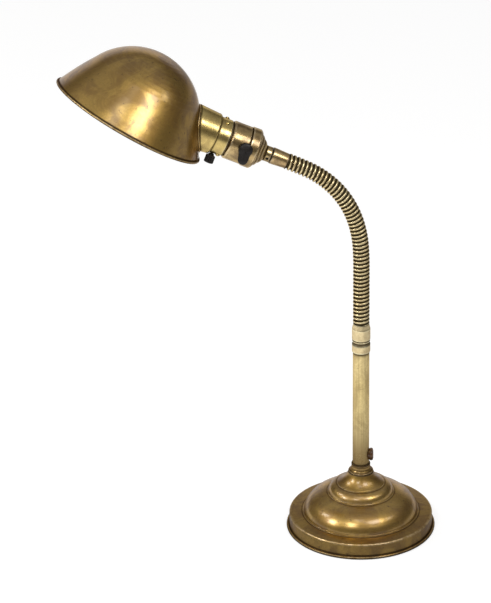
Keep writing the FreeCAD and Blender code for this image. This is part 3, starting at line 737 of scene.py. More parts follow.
HOLDER = Brass(
    "lampholder brass", "brass", pale=(0.76, 0.60, 0.23), warm=(0.60, 0.44, 0.14), brown=(0.24, 0.15, 0.045),
    roughness=0.22, roughness_tarnished=0.29, mottle=70.0, tarnish=0.5, specks=0.4, lines=0.03,
    rim=(0.6, 0.48, 0.28), lacquer=0.5)
SWITCH = Brass(
    "switch body brass", "brass", pale=(0.62, 0.46, 0.21), warm=(0.43, 0.29, 0.11),
    brown=(0.13, 0.075, 0.026), roughness=0.22, roughness_tarnished=0.32, mottle=90.0, tarnish=0.85,
    specks=0.6, lines=0.03, rim=(0.6, 0.48, 0.3), lacquer=0.6)
HOSE = Brass(
    "gooseneck brass", "neck_brass", pale=(0.88, 0.74, 0.43), warm=(0.76, 0.60, 0.31),
    brown=(0.34, 0.22, 0.10), roughness=0.28, roughness_tarnished=0.38, mottle=120.0, tarnish=0.3,
    specks=0.2, lines=0.03, rim=(0.45, 0.36, 0.26), shade_and_dirt=(0.022, 0.012, 0.002), lacquer=0.35)
BLACK = Moulding("black moulding", "black_moulding", body=(0.007, 0.005, 0.004), swirl=(0.016, 0.012, 0.009),
                 roughness=0.42, coat=0.0)
BROWN = Moulding("brown moulding", "brown_moulding", body=(0.050, 0.022, 0.008), swirl=(0.14, 0.065, 0.025),
                 roughness=0.24, coat=0.3)
BLOCK = Moulding("moulded block", "moulded_block", body=(0.56, 0.51, 0.42), swirl=(0.44, 0.38, 0.29),
                 roughness=0.55, grain=300.0, pores=0.25, coat=0.0)
IRON = DullMetal("cast iron", "iron", metal=(0.09, 0.09, 0.09), rust=(0.12, 0.05, 0.025),
                 roughness=0.62, grain=180.0, rusting=0.6, skin=0.6)
SOOTED = DullMetal("blackened steel", "steel", metal=(0.018, 0.017, 0.016), rust=(0.02, 0.012, 0.008),
                   roughness=0.5, grain=320.0, rusting=0.3, skin=0.2)
STEEL = DullMetal("dull steel", "steel", metal=(0.33, 0.32, 0.31), rust=(0.16, 0.08, 0.04),
                  roughness=0.38, grain=320.0, rusting=0.3, skin=0.2)


# Sub-assemblies
@dataclass
class SubAssembly:
    """Base of the sub-assemblies: dresses each piece, ties it to its body and logs it."""

    made: list[bpy.types.Object] = field(default_factory=list)

    def dress(self, obj: bpy.types.Object, material: bpy.types.Material, slot: str, body: str,
              *nodes: str) -> bpy.types.Object:
        """Give a piece its finish and its body, and hide the construction nodes that it stands for.

        Args:
            obj: the piece.
            material: its finish.
            slot: the record's material slot; not used.
            body: the body that it rides on, or nothing, which leaves it tied to no body.
            *nodes: construction nodes that it replaces.

        Returns:
            The piece.
        """
        obj.data.materials.clear()
        obj.data.materials.append(material)
        if body:
            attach(obj, body)
        if nodes:
            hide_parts(*nodes)
        self.made.append(obj)
        LOG.info("%s: %d faces on %s for %s", obj.name, len(obj.data.polygons), body or "two bodies",
                 ", ".join(nodes) or "no node")
        return obj

    def carry_over(self, material: bpy.types.Material, *nodes: str) -> None:
        """Give construction nodes that stay as they are their finish."""
        for name in nodes:
            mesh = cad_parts[name].data
            mesh.materials.clear()
            mesh.materials.append(material)
            LOG.info("%s: kept, in %s", name, material.name)


@dataclass
class Foot(SubAssembly):
    """The round foot: spun shell, iron weight, plate and baize."""

    rim_r: float = 68.6
    lip_r: float = 1.3
    lip_top: float = 15.4
    dome_foot_r: float = 55.6
    wall: float = 0.9
    top_z: float = 59.4
    pad_r: float = 66.0
    pad_t: float = 1.2

    def shell(self) -> bpy.types.Object:
        """Spun shell: rolled lip, flange wall, dome, bulge and cove with small lips between them."""
        w, r, lip = self.wall, self.rim_r, self.lip_r
        lip_z = lip + 0.2
        bow = (1 - math.cos(math.pi / 4)) * lip
        outside = [
            (8.2, self.top_z), (12.0, self.top_z), (21.7, 48.0, -1.5), (22.9, 47.5, -0.15), (23.1, 46.7),
            (31.0, 38.5, 1.9), (32.0, 38.0, -0.15), (32.2, 37.2), (40.0, 34.8, 0.3), (46.4, 31.1, 0.25),
            (51.0, 26.2, 0.28), (53.8, 21.0, 0.22), (54.7, 17.5, 0.12),
            (self.dome_foot_r + 0.4, 17.1, -0.2), (self.dome_foot_r + 0.6, 16.3), (r - 1.2, self.lip_top),
            (r, self.lip_top - 1.2, 0.35), (r, lip_z + 1.6 * lip), (r + lip, lip_z + lip, -0.25),
            (r + 2 * lip, lip_z, bow), (r + lip, lip_z - lip, bow), (r - w, lip_z - lip),
        ]
        inside = [
            (r - w, self.lip_top - 1.3), (r - 1.6, self.lip_top - w, -0.25),
            (self.dome_foot_r - 1.0, 16.2 - w), (self.dome_foot_r - 1.7, 17.0), (52.8, 20.7),
            (50.0, 25.3, -0.25), (45.7, 29.8, -0.25), (39.6, 33.4, -0.25), (31.2, 36.5, -0.25),
            (30.8, 37.4), (22.1, 46.0, -1.6), (11.6, self.top_z - w, 1.6), (8.2, self.top_z - w),
        ]
        # lips wiped clean of grime and painted shade; other spots: grime with painted shade in creases and
        # under the rolled lip
        wiped = ((22.2, 47.8, -1.3), (31.4, 38.3, -1.3), (self.dome_foot_r - 0.4, 17.3, -1.4))
        grimy_and_shaded = ((12.0, self.top_z, 1.0), (23.3, 46.4, 0.5), (32.4, 36.9, 0.5),
                 (self.dome_foot_r + 0.9, 16.1, 0.5), (r + 1.9 * lip, lip_z, 1.2))
        return turned("foot_shell", outside + inside, steps=192, ease=0.25, spots=wiped + grimy_and_shaded)

    def pad(self) -> bpy.types.Object:
        """Baize disc with a soft rounded edge."""
        r, t = self.pad_r, self.pad_t
        edge = r - t / 2
        return turned("baize_felt", [(0, 0), (edge, 0), (r, t / 2, -0.2), (edge, t, -0.2), (0, t)], ease=0.3)

    def build(self) -> None:
        """Make and dress the foot's pieces."""
        self.dress(self.shell(), AGED.material(), AGED.slot, "base", "base_shell")
        self.dress(self.pad(), Baize().material(), Baize().slot, "base", "baize_pad")
        self.carry_over(IRON.material(), "base_weight")
        self.carry_over(STEEL.material(), "base_plate", "base_washer", "base_nut")


@dataclass
class Stem(SubAssembly):
    """The straight stem with its collar, cord bush and the coupling for the neck."""

    r: float = 7.94
    bore_r: float = 6.9
    foot_z: float = 3.4
    top_z: float = 196.0
    collar_foot: float = 59.4
    collar_top: float = 68.3
    bush_z: float = 77.1
    bush_r: float = 6.1
    bush_bore_r: float = 2.75
    bush_hole_r: float = 4.2
    bush_out: float = 4.1
    coupling_foot: float = 188.6
    coupling_top: float = 197.4
    coupling_r: float = 8.8
    neck_foot_top: float = 219.2
    neck_bore_r: float = 4.0

    def collar(self) -> bpy.types.Object:
        """Turned collar that flares onto the shell."""
        foot, top = self.collar_foot, self.collar_top
        # spots: grime with painted shade where the collar meets the shell and under its lip
        return turned("turned_collar", [
            (self.r, foot), (11.5, foot), (11.9, foot + 0.5, -0.1), (11.8, foot + 1.1, -0.1),
            (10.0, foot + 2.6, 0.3), (9.1, foot + 5.2, 0.25), (8.75, top - 2.1), (9.05, top - 1.8, -0.1),
            (9.1, top - 0.5), (8.7, top, -0.1), (self.r, top),
        ], ease=0.2, spots=((11.9, foot, 0.9), (9.0, top - 0.4, 1.0)))

    @property
    def side(self) -> Axes:
        """Frame of the cord bush: its Z points out of the stem to +X at the bush's height."""
        return Axes.along(UP * self.bush_z, RIGHT, UP)

    def tube(self) -> bpy.types.Object:
        """Straight tube with the hole for the bush."""
        # spots: painted shade with grime under the collar's lip, and a painted shadow under the coupling
        made = turned("upright_tube", [
            (self.bore_r, self.foot_z), (self.r, self.foot_z), (self.r, self.top_z),
            (self.bore_r, self.top_z),
        ], ease=0.1, spots=((self.r, self.collar_top, 1.3), (self.r, self.coupling_foot, 2.2)))
        return cut_away(made, bar(self.bush_hole_r, self.side, 3.0, 12.0))

    def bush(self) -> bpy.types.Object:
        """Domed moulded bush, turned about its own axis out of the side of the stem."""
        face, r, bore = self.r + self.bush_out, self.bush_r, self.bush_bore_r
        return turned("bush_moulding", [
            (bore, 5.0), (4.1, 5.0), (4.1, self.r - 1.6), (r - 1.4, self.r - 1.6), (r - 0.3, self.r + 0.6),
            (r, self.r + 1.5), (r, face - 1.6), (r - 1.2, face - 0.4, -0.3), (bore + 0.8, face),
            (bore, face - 0.8, -0.2),
        ], self.side, 64, 0.25)

    def coupling(self) -> bpy.types.Object:
        """Collar brazed round the top of the stem."""
        top, foot, r = self.coupling_top, self.coupling_foot, self.coupling_r
        # spot: grime with painted shade at the joint with the ferrule
        return turned("coupling_ring", [(self.r, foot), (r - 0.5, foot), (r, foot + 0.6), (r, top - 0.5),
                                        (r - 0.4, top), (self.r, top)], ease=0.2, spots=((r, top, 0.9),))

    def neck_foot(self) -> bpy.types.Object:
        """Lower ferrule of the neck: two fine beads, barrel and shoulder."""
        top, bore = self.neck_foot_top, self.neck_bore_r
        # spots: grime with painted shade in the joint gap, the fine groove and at the top
        return turned("lower_ferrule", [
            (bore, self.top_z), (7.9, self.top_z), (7.9, self.coupling_top), (8.15, self.coupling_top),
            (8.15, 199.8), (8.6, 200.2), (8.6, 200.9), (8.25, 201.2), (8.25, 201.9), (8.86, 202.5),
            (8.86, 213.0),
            (8.5, 214.3, -0.1), (7.5, top), (bore, top)], ease=0.15,
            spots=((8.15, 198.4, 1.4), (8.2, 201.5, 0.6), (7.5, top, 0.8)))

    def build(self) -> None:
        """Make and dress the stem's pieces."""
        self.dress(self.collar(), COLLAR.material(), COLLAR.slot, "base", "stem_collar")
        self.dress(self.tube(), STEM.material(), STEM.slot, "base", "stem_tube")
        self.dress(self.bush(), BROWN.material(), BROWN.slot, "base", "cord_bush")
        pale = FERRULE.material()
        self.dress(self.coupling(), pale, FERRULE.slot, "base", "stem_coupling")
        self.dress(self.neck_foot(), pale, FERRULE.slot, "base", "neck_foot")


@dataclass
class Gooseneck(SubAssembly):
    """The flexible neck: one half-round winding up a path of ten arcs, in pieces that each span a hinge."""

    pitch: float = 4.02
    ribs: int = 5
    crest_r: float = 8.0
    root_r: float = 6.5
    rib_share: float = 0.64
    start_z: float = 220.2
    gap: float = 0.95
    turns: tuple[float, ...] = (0, 0, 0, 4.0, 9.3, 11.1, 12.9, 12.9, 13.1, 3.55)
    rows_per_rib: int = 20
    steps: int = 56
    bend_share: float = 0.42
    roundness: float = 2.2

    @property
    def length(self) -> float:
        """Length of neck between two hinges."""
        return self.pitch * self.ribs

    def hinges(self) -> tuple[np.ndarray, np.ndarray]:
        """Hinge points (x, z) and leans in radians, each length an arc of radius its length over its turn."""
        points, leans = [np.array([0.0, self.start_z])], [0.0]
        for turn in np.radians(self.turns):
            points.append(points[-1] + self.step(leans[-1], turn, self.length))
            leans.append(leans[-1] + turn)
        return np.array(points), np.array(leans)

    @staticmethod
    def step(lean: np.ndarray, bend: np.ndarray, run: np.ndarray) -> np.ndarray:
        """Move along an arc that starts at a lean and bends over a run: chord times the middle heading."""
        half = np.asarray(bend) / 2
        chord = run * np.sinc(half / math.pi)
        heading = lean + half
        return np.stack([-chord * np.sin(heading), chord * np.cos(heading)], -1)

    def centre(self, s: np.ndarray) -> tuple[np.ndarray, np.ndarray]:
        """Centre points and leans at lengths s from the first hinge.

        Args:
            s: lengths along the neck in millimetres.

        Returns:
            Points as (x, z) rows, and leans in radians.
        """
        points, leans = self.hinges()
        k = np.clip((s // self.length).astype(int), 0, len(self.turns) - 1)
        run = s - k * self.length
        rate = np.radians(np.array(self.turns))[k] / self.length
        inside = np.clip(run, 0, self.length)
        beyond = run - inside
        lean = leans[k] + rate * inside
        at = points[k] + self.step(leans[k], rate * inside, inside)
        return at + np.stack([-beyond * np.sin(lean), beyond * np.cos(lean)], -1), lean

    def winding(self, s: np.ndarray, t: np.ndarray) -> tuple[np.ndarray, np.ndarray]:
        """Surface of the winding and its depth: the radius rises from the root by a half round each pitch.

        The phase is s over the pitch less t over a full turn, so that the ribs climb to the right, and the
        rise is the root of one less a power, near the square, of the distance from the rib's middle over half
        its width.

        Args:
            s: lengths along the neck, one a row.
            t: angles round it from the front, one a column.

        Returns:
            The grid of points, and the depth below the crest from 0 to 1.
        """
        at, lean = self.centre(s)
        phase = s[:, None] / self.pitch - t[None, :] / (2 * math.pi)
        off = (phase - np.floor(phase) - 0.5) / (0.5 * self.rib_share)
        rise = np.sqrt(np.clip(1 - np.abs(off)**self.roundness, 0, 1))
        r = self.root_r + (self.crest_r - self.root_r) * rise
        side = np.stack([np.cos(lean), 0 * lean, np.sin(lean)], -1)[:, None]
        middle = np.stack([at[:, 0], 0 * lean, at[:, 1]], -1)[:, None]
        grid = middle + r[..., None] * (np.cos(t)[None, :, None] * FRONT + np.sin(t)[None, :, None] * side)
        return grid, 1 - rise

    def piece(self, k: int) -> bpy.types.Object:
        """Winding from the middle of one length to the middle of the next, across hinge k."""
        last = len(self.turns)
        low = -self.gap if k == 0 else (k - 0.5) * self.length
        high = last * self.length + self.gap if k == last else (k + 0.5) * self.length
        rows = int(round((high - low) / self.pitch * self.rows_per_rib))
        pad = (high - low) / rows
        s = np.linspace(low - pad, high + pad, rows + 3)
        t = np.linspace(0, 2 * math.pi, self.steps, endpoint=False)
        grid, depth = self.winding(s, t)
        along = grid[2:] - grid[:-2]
        around = (np.roll(grid, -1, 1) - np.roll(grid, 1, 1))[1:-1]
        normals = np.cross(around, along)
        normals /= np.linalg.norm(normals, axis=-1, keepdims=True)
        return surface("winding_%02d" % k, grid[1:-1], wrap_columns=True, normals=normals, tidy=False,
                       marks={"depth": depth[1:-1], "edge": 0 * depth[1:-1]})

    def build(self) -> None:
        """Make and dress the windings, each spanning a hinge and tied to no body."""
        # the hose finish darkens the grooves by depth: grime with painted shade
        hose = HOSE.material(grooved=True)
        points, leans = self.hinges()
        for k in range(len(self.turns) + 1):
            obj = self.piece(k)
            replaced = ["neck_length_%02d" % k] if k else []
            self.dress(obj, hose, HOSE.slot, "", *replaced)
            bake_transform(obj)

    def top(self) -> Axes:
        """Frame at the last hinge, Z along the neck and X to the front."""
        points, leans = self.hinges()
        lean = leans[-1]
        return Axes.along(np.array([points[-1][0], 0, points[-1][1]]),
                          np.array([-math.sin(lean), 0, math.cos(lean)]), FRONT)


@dataclass
class Lampholder(SubAssembly):
    """The switched bayonet lampholder: ferrule, cap, body, lever and what is inside."""

    axes: Axes = UPRIGHT
    ferrule_l: float = 16.6
    nipple_r: float = 5.4
    nipple_top: float = 10.5
    cap_neck_r: float = 7.5
    cap_neck_top: float = 6.0
    cap_ring_from: float = 16.5
    cap_ring_r: float = 19.4
    body_from: float = 24.8
    body_to: float = 44.6
    body_r: float = 18.6
    wall: float = 0.8
    skirt_r: float = 16.4
    skirt_to: float = 66.0
    slot_from: float = 28.0
    slot_sweep: float = 72.0
    slot_w: float = 1.3
    grub_azimuth: float = -14.0
    grub_at: float = 3.4
    grub_hole_r: float = 1.55
    lever_azimuth: float = 13.0
    lever_at: float = 27.9
    lever_back: float = 19.9
    boss_r: float = 6.9
    tail_l: float = 14.6
    tail_r: float = 4.9
    waist: float = 0.7
    toe_aside: float = -1.2
    lever_rise: float = 3.9
    lever_fall: float = 0.9
    lever_edge: float = 1.2

    def ferrule(self) -> bpy.types.Object:
        """Tapered upper ferrule of the neck with its nipple."""
        low, n = -self.ferrule_l, self.nipple_r
        # spots: grime with painted shade at the joints with the cap and the neck
        return turned("upper_ferrule", [
            (4.0, low), (7.1, low), (7.25, low + 0.5), (7.9, -4.2), (8.0, -1.2), (7.7, -0.35), (n, -0.35),
            (n, self.nipple_top), (4.0, self.nipple_top)], self.axes, ease=0.25,
            spots=((8.0, -0.5, 0.7), (7.1, low, 0.9)))

    def cap(self) -> bpy.types.Object:
        """Cap: neck, shoulder with turned steps, and the ring that screws on the body."""
        w, a, b, n = self.wall, self.cap_neck_top, self.cap_ring_from, self.nipple_r + 0.05
        r, to = self.cap_ring_r, self.body_from
        # spot: grime with painted shade at the foot of the cap's neck
        made = turned("cap_spinning", [
            (n, 0.35), (self.cap_neck_r - 0.2, 0.35), (self.cap_neck_r, 0.7), (self.cap_neck_r, a),
            (8.5, a + 1.1, 0.15), (11.9, a + 4.3, -0.35), (12.1, a + 4.9), (15.5, a + 7.7, -0.45),
            (15.8, a + 8.3), (r - 0.6, b - 0.3, -0.4), (r, b + 0.6, -0.15), (r, to - 0.5),
            (r - 0.4, to, -0.1), (self.body_r - w, to), (self.body_r - w, b + 1.0), (14.9, a + 8.8),
            (11.4, a + 6.0), (8.0, a + 2.6), (n, a + 2.6),
        ], self.axes, 128, 0.2, spots=((self.cap_neck_r, 0.4, 0.8),))
        side = self.axes.across(self.grub_azimuth, self.grub_at)
        return cut_away(made, bar(self.grub_hole_r, side, self.nipple_r - 0.4, 13.0))

    def body(self) -> bpy.types.Object:
        """Switch body, the step at its rim pushed back over the slot's sweep."""
        w, r, low, to, s = self.wall, self.body_r, self.body_from, self.body_to, self.skirt_r
        slot_end, ramp = self.slot_from + self.slot_sweep, 1.5

        def slotted(radius: np.ndarray, height: np.ndarray,
                    angle: np.ndarray) -> tuple[np.ndarray, np.ndarray]:
            """Move the rim's step along the axis by the slot's width where the angle is in the sweep."""
            degrees = np.degrees(angle)
            inside = np.clip((degrees - self.slot_from) / ramp, 0, 1)
            inside *= np.clip((slot_end - degrees) / ramp, 0, 1)
            rim = (height > low + 0.25) & (height < low + 1.2)
            return radius, height + np.where(rim, inside * (self.slot_w - 0.3), 0)

        # spots: grime with painted shade at the seams with the cap and the skirt
        return turned("body_spinning", [
            (r - 2 * w, low - 5.0), (r - w - 0.04, low - 5.0), (r - w - 0.04, low + 0.3),
            (r - 0.1, low + 0.5), (r, low + 0.7), (r, low + 3.0), (r, to - 3.6), (s + 0.4, to - 0.5, -0.75),
            (s + 0.5, to + 0.5), (s, to + 0.7), (s, to - 0.9), (r - 2 * w, to - 3.4, 0.5),
        ], self.axes, 240, 0.12, slotted, ((r - 0.4, low + 0.1, 0.4), (s + 0.4, to + 0.7, 0.6)))

    def skirt(self) -> bpy.types.Object:
        """Plain skirt in the body's mouth, its rim a little rounded."""
        s, low, high = self.skirt_r, self.body_to - 0.9, self.skirt_to
        # spot: grime with painted shade in the body's mouth
        return turned("skirt_tube", [(s - self.wall, low), (s, low), (s, high), (s - self.wall, high)],
                      self.axes, 128, 0.2, spots=((s, self.body_to + 0.7, 0.9),))

    def lever(self) -> bpy.types.Object:
        """Moulded lever: the outline of a round boss and a smaller toe, drawn in to their middle as a dome.

        The outline is the hull of the two circles, drawn in by a small waist: beyond the angle at which a
        line touches both circles it is the boss, before it the boss's radius over the cosine of the angle
        left to it, and round the toe the far side of the toe's circle. The shape closes from it to the line
        between the circles' centres as u runs from 0 to 1, and rises by the root of one less the square of
        one less u.
        """
        side = self.axes.across(self.lever_azimuth, self.lever_at)
        low, edge_h, waist_turn, waist_reach = self.lever_back, self.lever_edge, 0.8, 0.3
        toe = np.array([self.toe_aside, self.tail_l - self.tail_r])
        reach = np.linalg.norm(toe)
        way = toe / reach
        t = np.linspace(0, 2 * math.pi, 96, endpoint=False)
        ray = np.stack([np.cos(t), np.sin(t)], -1)
        along, aside = ray @ way, ray @ np.array([-way[1], way[0]])
        gap = np.clip(self.tail_r**2 - (reach * aside)**2, 0, None)
        turn = np.arctan2(np.abs(aside), along)
        touch = math.acos((self.boss_r - self.tail_r) / reach)
        toe_turn = math.atan2(self.tail_r * math.sin(touch), reach + self.tail_r * math.cos(touch))
        hull = self.boss_r / np.cos(np.minimum(turn, touch) - touch)
        size = np.where(turn < toe_turn, reach * along + np.sqrt(gap), hull)
        edge = ray * (size - self.waist * np.exp(-((turn - waist_turn) / waist_reach)**2))[:, None]
        share = np.clip(edge @ way / reach, 0, 1)[:, None]
        spine = share * toe * 0.92
        rise = self.lever_rise - self.lever_fall * share[:, 0]
        points = [np.column_stack([edge * 0.02, low + 0 * share])]
        for inset, height in ((0.10, 0.0), (0.0, 0.35), (0.0, edge_h)):
            points.append(np.column_stack([edge + (spine - edge) * inset, low + height + 0 * share]))
        for u in np.linspace(0.04, 0.98, 16):
            top = edge_h + (rise - edge_h) * math.sqrt(1 - (1 - u)**2)
            points.append(np.column_stack([edge + (spine - edge) * u, low + top]))
        grid = side.place(np.array(points))
        return surface("lever_moulding", grid, wrap_columns=True, marks={"edge": np.zeros(grid.shape[:2])})

    def build(self) -> None:
        """Make and dress the lampholder's pieces."""
        brass = SWITCH.material(self.axes)
        self.dress(self.ferrule(), HEAD.material(self.axes), HEAD.slot, "holder", "neck_head")
        self.dress(self.cap(), brass, SWITCH.slot, "holder", "holder_cap")
        self.dress(self.body(), brass, SWITCH.slot, "holder", "holder_body")
        self.dress(self.skirt(), brass, SWITCH.slot, "holder", "holder_skirt")
        self.dress(self.lever(), BLACK.material(), BLACK.slot, "switch_lever", "switch_lever")
        self.carry_over(brass, "holder_barrel", "switch_spindle", "plunger_upper", "plunger_lower",
                        "terminal_screws")
        self.carry_over(BLOCK.material(), "contact_block")
        self.carry_over(SOOTED.material(), "cap_grub_screw")


@dataclass
class Shade(SubAssembly):
    """The half-bowl shade and the carrier that turns on the lampholder's skirt."""

    holder: Axes = UPRIGHT
    bowl: Axes = UPRIGHT
    mouth_r: float = 75.8
    crown_r: float = 64.0
    depth: float = 71.2
    wall: float = 0.8
    bead_r: float = 1.4
    slope: float = 62.0
    hole_r: float = 17.2
    cut_l: float = 36.0
    flange_near: float = 20.0
    ring_from: float = 45.4
    ring_r: float = 17.8
    ring_bore_r: float = 16.46
    drum_from: float = 56.8
    drum_r: float = 19.9
    drum_flare: float = 0.084
    carrier_wall: float = 0.9
    grime_and_shade_reach: float = 0.7
    rim_grime_and_shade: float = 0.8
    flange_r: float = 23.0
    flange_t: float = 1.2
    screws: tuple[tuple[float, float], ...] = ((75.0, 51.1), (118.0, 51.1), (-54.0, 48.6))
    thumb_at: float = 53.2
    thumb_azimuth: float = -72.0
    thumb_r: float = 4.6
    tip_r: float = 16.75
    knurls: int = 14
    knurl_deep: float = 0.55

    def face(self, offset: float) -> tuple[Station, Station, Station, float]:
        """Foot, knee and top of the shade's face moved outwards, and the bow of its round crown."""
        slope, radius, centre = math.radians(self.slope), self.crown_r + offset, self.depth - self.crown_r
        knee = (radius * math.sin(slope), centre + radius * math.cos(slope))
        foot = (self.mouth_r - 0.4 + offset * math.sin(slope), 0.8 + offset * math.cos(slope))
        return foot, knee, (0.0, centre + radius), radius * (1 - math.cos(slope / 2))

    def shell(self) -> bpy.types.Object:
        """Half bowl with its rolled bead: inner crown and wall, round the bead, outer wall and crown."""
        foot_o, knee_o, top_o, bow_o = self.face(0.0)
        foot_i, knee_i, top_i, bow_i = self.face(-self.wall)
        inner = drawn([top_i, (*knee_i, bow_i), (foot_i[0] - 0.15, foot_i[1] + 0.3, 0.7)])
        angle = np.radians(np.linspace(150, 464, 40))[:, None]
        bead = np.array([self.mouth_r, 0.0]) + self.bead_r * np.hstack([np.cos(angle), np.sin(angle)])
        outer = drawn([(foot_o[0] - 0.05, foot_o[1] + 0.9), (*knee_o, -0.7), (*top_o, -bow_o)])
        section = np.vstack([inner, bead, outer])
        disc = self.disc()

        def flange_edge_grime_and_shade(points: np.ndarray) -> np.ndarray:
            """Grime and painted shade in a line along the flange's edge."""
            local = points - disc.origin
            height = local @ disc.z
            away = np.linalg.norm(local - height[..., None] * disc.z, axis=-1) - self.flange_r
            return np.exp(-away**2) * (height > -self.flange_near)

        # bead spots: grime with painted shade in the groove above the bead and under it
        made = turned("shade_bowl", [tuple(p) for p in section], self.bowl, 240, 0.2, shade_and_dirt=flange_edge_grime_and_shade,
                      spots=((self.mouth_r + 0.7, 1.3, 1.0), (self.mouth_r + 0.9, -1.1, 1.3)))
        return cut_away(made, bar(self.hole_r, self.holder, self.drum_from, self.drum_from + self.cut_l))

    def reach(self, start: np.ndarray, way: np.ndarray, offset: float) -> np.ndarray:
        """How far each point goes along a direction before it meets the shade's face moved outwards.

        The face is the radius at each height of its half section; the meeting is found by halving the run.

        Args:
            start: points in millimetres.
            way: unit direction.
            offset: how far the face is moved outwards.

        Returns:
            Distances, one for each point.
        """
        foot, knee, top, bow = self.face(offset)
        line = drawn([foot, (*knee, -0.7), (*top, -bow)])

        def outside(points: np.ndarray) -> np.ndarray:
            """Radius beyond the face at the points' heights."""
            local = points - self.bowl.origin
            height = local @ self.bowl.z
            radius = np.linalg.norm(local - height[..., None] * self.bowl.z, axis=-1)
            return radius - np.interp(height, line[:, 1], line[:, 0])

        farthest, halvings = 45.0, 36
        near, far = np.zeros(start.shape[:-1]), np.full(start.shape[:-1], farthest)
        for _ in range(halvings):
            middle = (near + far) / 2
            still = outside(start + middle[..., None] * way) > 0
            near, far = np.where(still, middle, near), np.where(still, far, middle)
        return near

    def disc(self) -> Axes:
        """Frame on the shade's wall where the lampholder's axis meets it, Z along the wall's normal."""
        slope = math.radians(self.slope)
        normal = self.bowl.x * math.sin(slope) + self.bowl.z * math.cos(slope)
        start = self.holder.point(0, 0, self.drum_from)
        middle = start + self.holder.z * self.reach(start[None], self.holder.z, 0.0)[0]
        return Axes.along(middle, normal, FRONT)

    def flange(self) -> bpy.types.Object:
        """Flange that hugs the wall: a ring of points let down onto the shade along the wall's normal."""
        disc = self.disc()
        hole, edge, t = self.hole_r + 0.8, self.flange_r, self.flange_t
        radius = np.array([hole, edge - 0.5, edge - 0.15, edge, edge, edge, hole])
        lift = np.array([t, t, t - 0.12, t - 0.45, 0.3, 0.02, 0.02])
        turn = np.linspace(0, 2 * math.pi, 120, endpoint=False)
        r = radius[:, None] + 0 * turn
        flat = disc.place(np.stack([r * np.cos(turn), r * np.sin(turn), self.flange_near + 0 * r], -1))
        drop = self.reach(flat, -disc.z, 0.0)
        grid = flat - (drop - lift[:, None])[..., None] * disc.z
        # flange top rubbed with a painted highlight; its edge on the bowl grime with painted shade
        low = (lift < 0.5)[:, None] * np.ones_like(r)
        return surface("flange_skin", grid, wrap_rows=True, wrap_columns=True,
                       marks={"edge": 0.8 * (1 - low), "grime_and_shade": low})

    def drum(self) -> bpy.types.Object:
        """Drum that widens from its round shoulder and ends obliquely on the flange."""
        w, low, r = self.carrier_wall, self.drum_from, self.drum_r
        edge = low + 2.6
        shoulder = [(self.ring_r - 0.1, low), (self.ring_r + 0.1, low), (r, edge, -0.7)]
        near = eased(drawn(shoulder), 0.2, False)
        far = drawn([(r - w, edge), (self.ring_r - 0.1, low + 1.2, 0.4)])
        t = np.linspace(0, 2 * math.pi, 144, endpoint=False)
        rim = self.holder.place(np.stack([r * np.cos(t), r * np.sin(t), 0 * t + edge], -1))
        run = self.reach(rim, self.holder.z, self.flange_t) - 0.1
        share = np.linspace(0, 1, 24)[1:, None]
        out_h, out_r = edge + run * share, r + self.drum_flare * run * share
        rows_r = np.vstack([near[:, :1] + 0 * t, out_r, out_r[::-1] - w, far[:, :1] + 0 * t])
        rows_h = np.vstack([near[:, 1:] + 0 * t, out_h, out_h[::-1], far[:, 1:] + 0 * t])
        grid = self.holder.place(np.stack([rows_r * np.cos(t), rows_r * np.sin(t), rows_h], -1))
        clean = np.zeros(2 * len(share) + len(far))
        # grime with painted shade at the ring's end and where the drum meets the flange
        at_ring = np.concatenate([np.exp(-((near[:, 1] - low) / self.grime_and_shade_reach)**2), clean])
        grime_and_shade = at_ring[:, None] + 0 * t
        rim_row = len(near) + len(share)
        grime_and_shade[rim_row - 2:rim_row] = self.rim_grime_and_shade
        return surface("carrier_drum", grid, wrap_rows=True, wrap_columns=True,
                       marks={"edge": 0 * grime_and_shade, "grime_and_shade": grime_and_shade})

    def ring(self) -> bpy.types.Object:
        """Ring that turns on the skirt."""
        low, r, bore, to = self.ring_from, self.ring_r, self.ring_bore_r, self.drum_from
        # spots: grime with painted shade at the seams with the skirt and the drum
        return turned("carrier_ring", [(bore, low), (r - 0.3, low), (r, low + 0.4), (r, to), (r - 0.1, to),
                                       (r - 0.1, to + 1.2), (bore, to + 1.2)], self.holder, 144, 0.15,
                      spots=((r - 0.3, low, 0.5), (r, to, 0.8)))

    def thumb(self) -> bpy.types.Object:
        """Knurled thumb screw: the head's radius falls by a rounded cut at each knurl."""
        side = self.holder.across(self.thumb_azimuth, self.thumb_at)
        low, high, r = self.ring_r + 2.0, self.ring_r + 10.3, self.thumb_r

        def knurled(radius: np.ndarray, height: np.ndarray,
                    angle: np.ndarray) -> tuple[np.ndarray, np.ndarray]:
            """Cut the head by the fourth power of the cosine of half the knurl's phase."""
            wave = np.cos(angle * self.knurls / 2)**4
            head = np.clip((radius - 3.2) / 1.2, 0, 1) * (height > low)
            return radius - self.knurl_deep * wave * head, height

        return turned("knurled_screw", [
            (0, self.tip_r), (1.6, self.tip_r), (1.6, self.ring_r + 0.6), (2.6, self.ring_r + 0.6),
            (2.9, low), (r - 0.3, low + 0.5), (r, low + 1.2), (r, high - 1.3), (r - 0.8, high - 0.4, -0.2),
            (0.3, high, -0.1), (0, high)], side, 196, 0.25, knurled)

    def build(self) -> None:
        """Make and dress the shade's pieces."""
        self.dress(self.shell(), AGED.material(self.bowl, " shade"), AGED.slot, "shade_carrier", "shade")
        skin = AGED.material(self.bowl, " flange")
        self.dress(self.flange(), skin, "brass", "shade_carrier", "shade_flange")
        brass = HOLDER.material(self.holder, " carrier")
        self.dress(self.drum(), brass, HOLDER.slot, "shade_carrier", "gallery_drum")
        self.dress(self.ring(), brass, HOLDER.slot, "shade_carrier", "gallery_ring")
        self.dress(self.thumb(), BLACK.material(), BLACK.slot, "thumb_screw", "thumb_screw")
        self.carry_over(brass, "gallery_screws")


